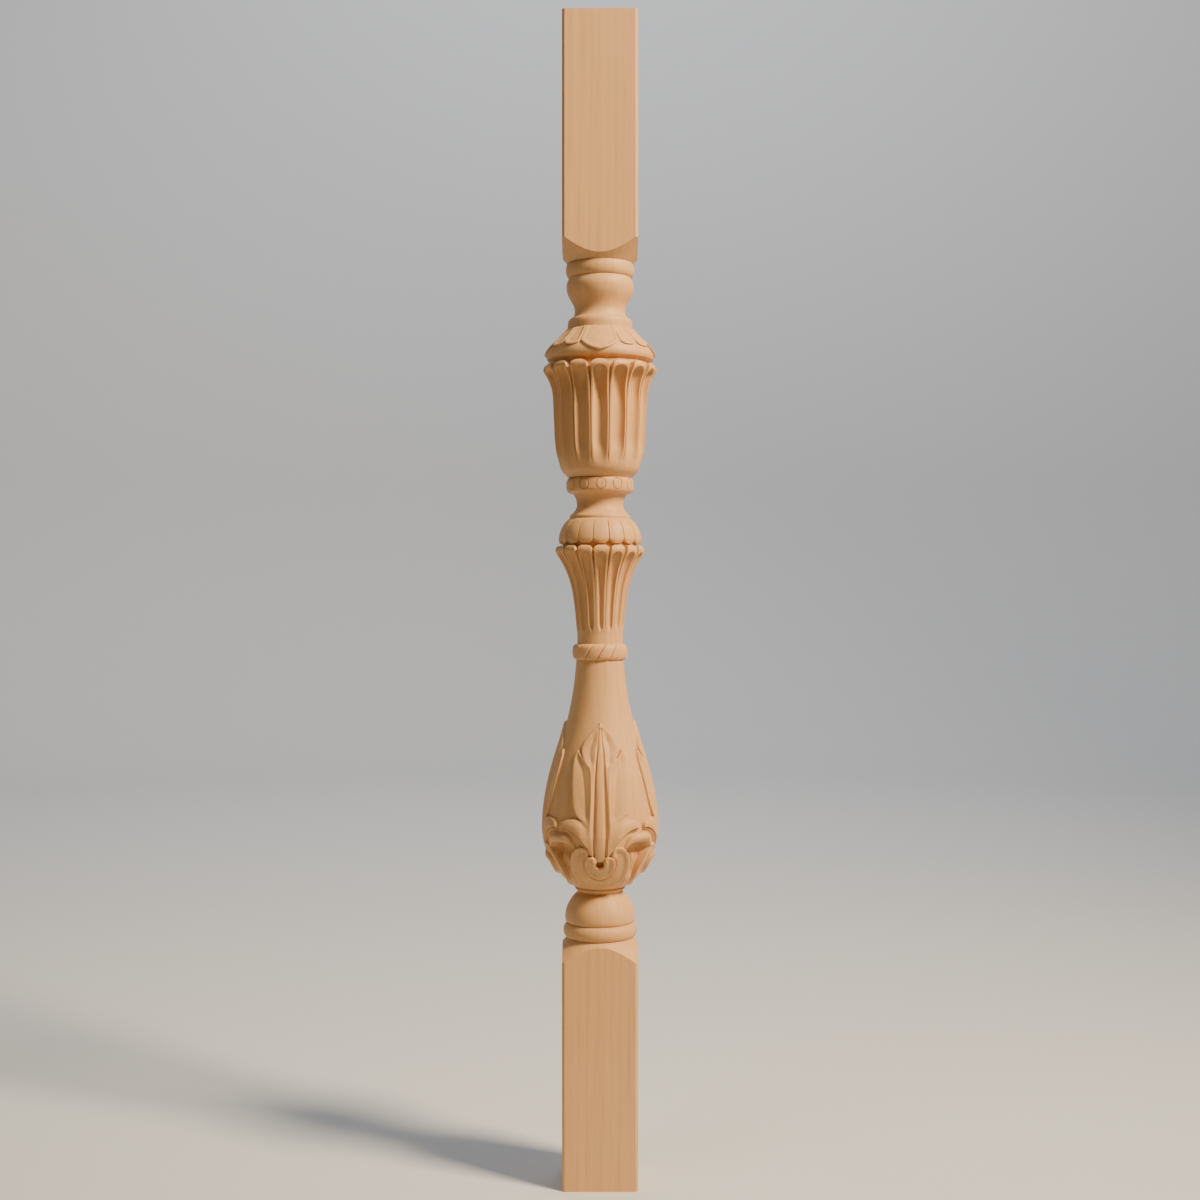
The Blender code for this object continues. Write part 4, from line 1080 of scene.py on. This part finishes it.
def collar_rings(base, sizes):
    """Rings of the collar of tongues, whose round tips hang over the trumpet's lip."""
    rings = [circle(base - 0.0001, sizes.foot_radius), circle(base + COLLAR_CORE_TOP, sizes.foot_radius)]
    for t in np.concatenate([[0, 0.03, 0.07], np.linspace(0.12, 1, 16)]):
        pattern = []
        for s in TONGUE_COLUMNS:
            tip = 0.02 + 0.12 * min(1, abs(s) / TONGUE_SHARE) ** 2.6
            at = mix(tip, 1.0, t)
            cut = max(0.0, 1 - (0.5 - abs(s)) / COLLAR_CUT_SHARE) * (1 - float(ramp(at, 0.80, 0.93)))
            tip_fall = TONGUE_TIP_FALL * (1 - float(ramp(t, 0, 0.08)))
            side_fall = TONGUE_SIDE_FALL * (2 * s) ** 2
            radius = sizes.radius * float(curve(COLLAR_PROFILE, at))
            radius = radius - side_fall - tip_fall - sizes.groove_depth * cut
            pattern.append((s, radius, base + MOULDINGS["collar"] * at))
        rings.append(repeated(sizes.tongues, sizes.phase, pattern))
    return rings


def build_skin(settings):
    """Stack every moulding from the floor up."""
    height = MOULDINGS
    foot = dict(zip([*height, "upper_block"], accumulate(height.values(), initial=0.0)))
    plain, bulb, roundels = settings.turned, settings.bulb, settings.roundels
    trumpet, cup, dome = settings.trumpet, settings.cup, settings.dome
    skin = Skin()

    def bulb_circle(level):
        return circle(foot["bulb"] + level, float(bulb_ground(bulb, np.array([level / MM]))[0]) * MM)

    def turned(name, profile, low, high, rows):
        """Rings of a turned moulding whose swell goes from radius low to high."""
        shares = np.linspace(profile[0][0], profile[-1][0], rows)
        swells = curve(profile, shares)
        return [circle(foot[name] + height[name] * at, mix(low, high, swell))
                for at, swell in zip(shares, swells)]

    def ring(name, below, radius, above):
        """Rings of a round bead between two necks."""
        return bead(foot[name], height[name], below, radius, above)

    def roundel_edge(at, end_radius, profile):
        """Ring next to the roundels' patch, at a share of their height."""
        level = foot["roundel_ring"] + height["roundel_ring"] * at
        radius = float(mix(end_radius, roundels.radius, curve(profile, at)))
        return circle(level, radius, math.degrees(roundels.phase))

    edge = skin_block(skin, plain, 0.0, height["lower_block"], height["lower_shoulder"], plain.ring_neck)
    stack = ring("lower_ring", plain.ring_neck, plain.ring_radius, plain.ball_neck)
    stack += turned("ball", BALL_PROFILE, bulb.foot_radius, plain.ball_radius, 22)[1:]
    stack += [bulb_circle(BULB_BAND_FOOT * at) for at in (0.5, 1)]
    first, _ = skin.stack(stack)
    skin.join(edge, first)

    carve_bulb(skin, bulb, foot["bulb"])
    cup_radius = cup.lip_radius * CUP_PROFILE[0][1]
    trumpet_radius = trumpet.lip_radius * TRUMPET_PROFILE[0][1]
    stack = [bulb_circle(mix(BULB_BAND_TOP, height["bulb"], at)) for at in np.linspace(0, 1, 20)][:-1]
    stack += rope_rings(foot["rope"], settings.rope, bulb.neck_radius, trumpet_radius)
    stack += [circle(foot["trumpet"] + height["trumpet"] * at, trumpet_radius) for at in (0.02, 0.06, 0.1)]
    stack += fluted(foot["trumpet"], height["trumpet"], trumpet, TRUMPET_PROFILE, 32)
    stack += collar_rings(foot["collar"], settings.collar)
    stack += turned("scotia", SCOTIA_LOWER_PROFILE, plain.scotia_radius, plain.scotia_ledge, 14)
    stack += turned("scotia", SCOTIA_UPPER_PROFILE, plain.scotia_radius, plain.scotia_top, 10)[1:]
    margin = ROUNDEL_MARGIN / height["roundel_ring"]
    stack.append(roundel_edge(margin, plain.scotia_top, ROUNDEL_LOWER_PROFILE))
    skin.stack(stack)

    carve_roundels(skin, roundels, plain, foot["roundel_ring"], cup_radius)
    stack = [roundel_edge(1 - margin, cup_radius, ROUNDEL_UPPER_PROFILE)]
    stack += turned("cup", [knot for knot in CUP_PROFILE if knot[0] < CUP_PLAIN_FOOT], 0, cup.lip_radius, 8)
    stack += fluted(foot["cup"], height["cup"], cup, CUP_PROFILE, 38)
    stack += turned("dome", DOME_FOOT_PROFILE, dome.foot_radius, dome.radius, 7)
    skin.stack(stack)

    carve_dome(skin, dome, foot["dome"])
    top_swell = float(curve(DOME_PROFILE, DOME_BAND_TOP / height["dome"]))
    stack = [circle(foot["dome"] + DOME_BAND_TOP, mix(dome.top_radius, dome.radius, top_swell))]
    stack += ring("dome_ring", dome.top_radius, plain.dome_ring, plain.dome_ring_top)
    stack += turned("ogee", OGEE_LOWER_PROFILE, plain.ogee_waist, plain.ogee_foot, 8)
    stack += turned("ogee", OGEE_UPPER_PROFILE, plain.ogee_waist, plain.ogee_shoulder, 14)[1:]
    stack += turned("ogee", OGEE_TOP_PROFILE, plain.ogee_top, plain.ogee_shoulder, 8)[1:]
    stack += ring("upper_ring", plain.ogee_top, plain.upper_ring, plain.upper_ring_neck)[1:]
    _, last = skin.stack(stack)
    edge = skin_block(skin, plain, plain.total, foot["upper_block"], -height["upper_shoulder"],
                      plain.upper_ring_neck)
    skin.join(last, edge)
    return skin


class Value:
    """A socket in a shader expression. Arithmetic on values adds Math nodes."""

    def __init__(self, nodes, socket):
        self.nodes = nodes
        self.socket = socket

    def _math(self, operation, first, second):
        return self.nodes.add("ShaderNodeMath", {"operation": operation}, {0: first, 1: second})

    def __add__(self, other):
        return self._math("ADD", self, other)

    def __radd__(self, other):
        return self._math("ADD", other, self)

    def __sub__(self, other):
        return self._math("SUBTRACT", self, other)

    def __rsub__(self, other):
        return self._math("SUBTRACT", other, self)

    def __mul__(self, other):
        return self._math("MULTIPLY", self, other)

    def __rmul__(self, other):
        return self._math("MULTIPLY", other, self)


class Nodes:
    """The node tree of one material."""

    def __init__(self, name):
        self.material = bpy.data.materials.new(name)
        self.material.use_nodes = True
        self.tree = self.material.node_tree
        self.shader = self.tree.nodes["Principled BSDF"]

    def add(self, kind, settings, inputs, output=0):
        """Add a node: its settings first, then the values or links of its sockets."""
        node = self.tree.nodes.new(kind)
        for name, value in settings.items():
            setattr(node, name, value)
        for key, value in inputs.items():
            self.feed(node.inputs[key], value)
        return Value(self, node.outputs[output])

    def feed(self, socket, value):
        """Link a value to a socket, or set the socket to a number or colour."""
        if isinstance(value, Value):
            self.tree.links.new(value.socket, socket)
        elif socket.type == "RGBA":
            socket.default_value = (*value, 1.0)
        else:
            socket.default_value = value

    def blend(self, amount, first, second):
        """Mix two colours, which have sockets 6 and 7 and output 2 on a Mix node."""
        return self.add("ShaderNodeMix", {"data_type": "RGBA"}, {0: amount, 6: first, 7: second}, 2)

    def smooth(self, value, low, high):
        """0 below low, 1 above high, and a smooth step between."""
        return self.add("ShaderNodeMapRange", {"interpolation_type": "SMOOTHSTEP"},
                        {"Value": value, "From Min": low, "From Max": high})


def wood_material(finish):
    """Pale sanded timber with fine grain along the baluster."""
    nodes = Nodes("carved_timber")
    place = nodes.add("ShaderNodeTexCoord", {}, {}, OBJECT_OUTPUT)
    across, along = 1 / finish.grain_width, 1 / finish.grain_length

    def noise(scale, detail, roughness):
        stretched = nodes.add("ShaderNodeMapping", {}, {"Vector": place, "Scale": scale})
        return nodes.add("ShaderNodeTexNoise", {}, {
            "Vector": stretched, "Scale": 1.0, "Detail": detail, "Roughness": roughness})

    streaks = noise((across * 0.5, across * 0.5, along), 4.0, 0.6)
    fine = noise((across * 2.4, across * 2.4, along * 2.2), 2.0, 0.5)
    clouds = noise((9.0, 9.0, 2.6), 2.0, 0.5)
    drift = noise((14.0, 14.0, 1.6), 1.0, 0.5)
    bent = nodes.add("ShaderNodeVectorMath", {"operation": "MULTIPLY_ADD"}, {
        0: drift, 1: (0.018, 0.018, 0.0), 2: place})
    rings = nodes.add("ShaderNodeTexWave", {"wave_type": "RINGS", "rings_direction": "Z"}, {
        "Vector": nodes.add("ShaderNodeMapping", {}, {"Vector": bent, "Location": (0.21, 0.13, 0.0)}),
        "Scale": YEAR_RING_SCALE, "Distortion": 0.6, "Detail": 1.0})
    pores = nodes.smooth(fine, 0.60, 0.72)
    tone = nodes.blend(nodes.smooth(clouds, 0.3, 0.7) * CLOUDS, finish.wood, finish.light_wood)
    tone = nodes.blend(nodes.smooth(streaks, 0.46, 0.72) * STREAKS, tone, finish.dark_wood)
    tone = nodes.blend(nodes.smooth(rings, 0.55, 1.0) * YEAR_RINGS, tone, finish.dark_wood)
    tone = nodes.blend(pores * PORES, tone, finish.dark_wood)
    nodes.feed(nodes.shader.inputs["Base Color"], tone)
    nodes.feed(nodes.shader.inputs["Roughness"], finish.roughness + streaks * 0.16 - 0.06 + pores * 0.08)
    height = streaks * 0.4 + fine * 0.35 - pores * 0.5
    nodes.feed(nodes.shader.inputs["Normal"], nodes.add("ShaderNodeBump", {}, {
        "Strength": 0.22, "Distance": 0.0003, "Height": height}))
    nodes.feed(nodes.shader.inputs["Specular IOR Level"], 0.35)
    return nodes.material


def floor_material(studio):
    """Plain pale paper."""
    nodes = Nodes("pale_floor")
    nodes.feed(nodes.shader.inputs["Base Color"], tuple(studio.floor))
    nodes.feed(nodes.shader.inputs["Roughness"], 0.85)
    nodes.feed(nodes.shader.inputs["Specular IOR Level"], 0.2)
    return nodes.material


class BALUSTER_OT_build(Operator):
    """Build the turned and carved baluster"""

    bl_idname = "baluster.build"
    bl_label = "Build Baluster"

    def execute(self, context):
        settings = context.scene.baluster
        piece = bpy.data.objects.new("carved_baluster", build_skin(settings).mesh("carved_baluster"))
        context.scene.collection.objects.link(piece)
        piece.data.materials.append(wood_material(settings.finish))
        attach(piece, "root")
        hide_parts(NODE)
        return {"FINISHED"}


class BALUSTER_OT_stage(Operator):
    """Build the floor, the lights and the camera"""

    bl_idname = "baluster.stage"
    bl_label = "Build Studio"

    def execute(self, context):
        studio = context.scene.baluster.studio
        self.floor(context, studio)
        self.light(context, "key_light", studio.key, *KEY_LIGHT)
        self.light(context, "fill_light", studio.fill, *FILL_LIGHT)
        self.light(context, "backdrop_light", studio.sky, *BACKDROP_LIGHT)
        world = bpy.data.worlds.new("ambient")
        world.use_nodes = True
        background = world.node_tree.nodes["Background"]
        background.inputs["Color"].default_value = (*studio.sky, 1.0)
        background.inputs["Strength"].default_value = AMBIENT_STRENGTH
        context.scene.world = world
        self.camera(context, studio)
        return {"FINISHED"}

    def floor(self, context, studio):
        """A round floor that sweeps up into a backdrop on all sides."""
        sweep_radius, wall_top, steps, columns = 0.8, 3.2, 12, 96
        profile = [(0.0, 0.0), (studio.floor_radius, 0.0)]
        profile += [(studio.floor_radius + sweep_radius * math.sin(turn), sweep_radius * (1 - math.cos(turn)))
                    for turn in (math.pi / 2 * k / steps for k in range(1, steps + 1))]
        profile.append((studio.floor_radius + sweep_radius, wall_top))
        vertices = [(0.0, 0.0, 0.0)]
        faces = []
        for row, (radius, height) in enumerate(profile[1:]):
            for k in range(columns):
                turn = 2 * math.pi * k / columns
                vertices.append((radius * math.cos(turn), radius * math.sin(turn), height))
                here, after = 1 + row * columns + k, 1 + row * columns + (k + 1) % columns
                if row == 0:
                    faces.append((0, here, after))
                else:
                    faces.append((here - columns, here, after, after - columns))
        mesh = bpy.data.meshes.new("floor")
        mesh.from_pydata(vertices, [], faces)
        mesh.shade_smooth()
        mesh.materials.append(floor_material(studio))
        floor = bpy.data.objects.new("floor", mesh)
        context.scene.collection.objects.link(floor)

    def light(self, context, name, tint, watts, place, width, aim, spread):
        """A square soft light that faces a point and spreads over an angle in degrees."""
        data = bpy.data.lights.new(name, "AREA")
        data.size = width
        data.energy = watts
        data.color = tint
        data.spread = math.radians(spread)
        lamp = bpy.data.objects.new(name, data)
        lamp.location = place
        lamp.rotation_euler = (Vector(aim) - Vector(place)).to_track_quat("-Z", "Y").to_euler()
        lamp.visible_camera = False
        context.scene.collection.objects.link(lamp)

    def camera(self, context, studio):
        """The level camera in front of the baluster."""
        data = bpy.data.cameras.new("camera")
        data.lens = studio.lens
        data.sensor_width = SENSOR_WIDTH
        camera = bpy.data.objects.new("camera", data)
        camera.location = (0.0, -studio.camera_distance, studio.camera_height)
        camera.rotation_euler = (math.pi / 2, 0.0, 0.0)
        context.scene.collection.objects.link(camera)
        context.scene.camera = camera


class BALUSTER_PT_panel(Panel):
    """Lists the build steps and their settings"""

    bl_idname = "BALUSTER_PT_panel"
    bl_label = "Carved Baluster"
    bl_space_type = "VIEW_3D"
    bl_region_type = "UI"
    bl_category = "Baluster"

    def draw(self, context):
        settings = context.scene.baluster
        for operator in (BALUSTER_OT_build, BALUSTER_OT_stage):
            self.layout.operator(operator.bl_idname)
        for name in BalusterSettings.__annotations__:
            group = getattr(settings, name)
            box = self.layout.box()
            box.label(text=name.capitalize())
            for field in type(group).__annotations__:
                box.prop(group, field)


CLASSES = (TurnedSizes, BulbSizes, RopeSizes, FluteSizes, CollarSizes, RoundelSizes, DomeSizes, Finish,
           Studio, BalusterSettings, BALUSTER_OT_build, BALUSTER_OT_stage, BALUSTER_PT_panel)


def register():
    """Register the classes and the scene's settings."""
    for item in CLASSES:
        bpy.utils.register_class(item)
    bpy.types.Scene.baluster = PointerProperty(type=BalusterSettings)


def unregister():
    """Remove what register added."""
    del bpy.types.Scene.baluster
    for item in reversed(CLASSES):
        bpy.utils.unregister_class(item)


def main():
    """Build the baluster and its studio."""
    register()
    for name, value in TRUMPET_SIZES.items():
        setattr(bpy.context.scene.baluster.trumpet, name, value)
    bpy.ops.baluster.build()
    bpy.ops.baluster.stage()


if __name__ == "__main__":
    main()
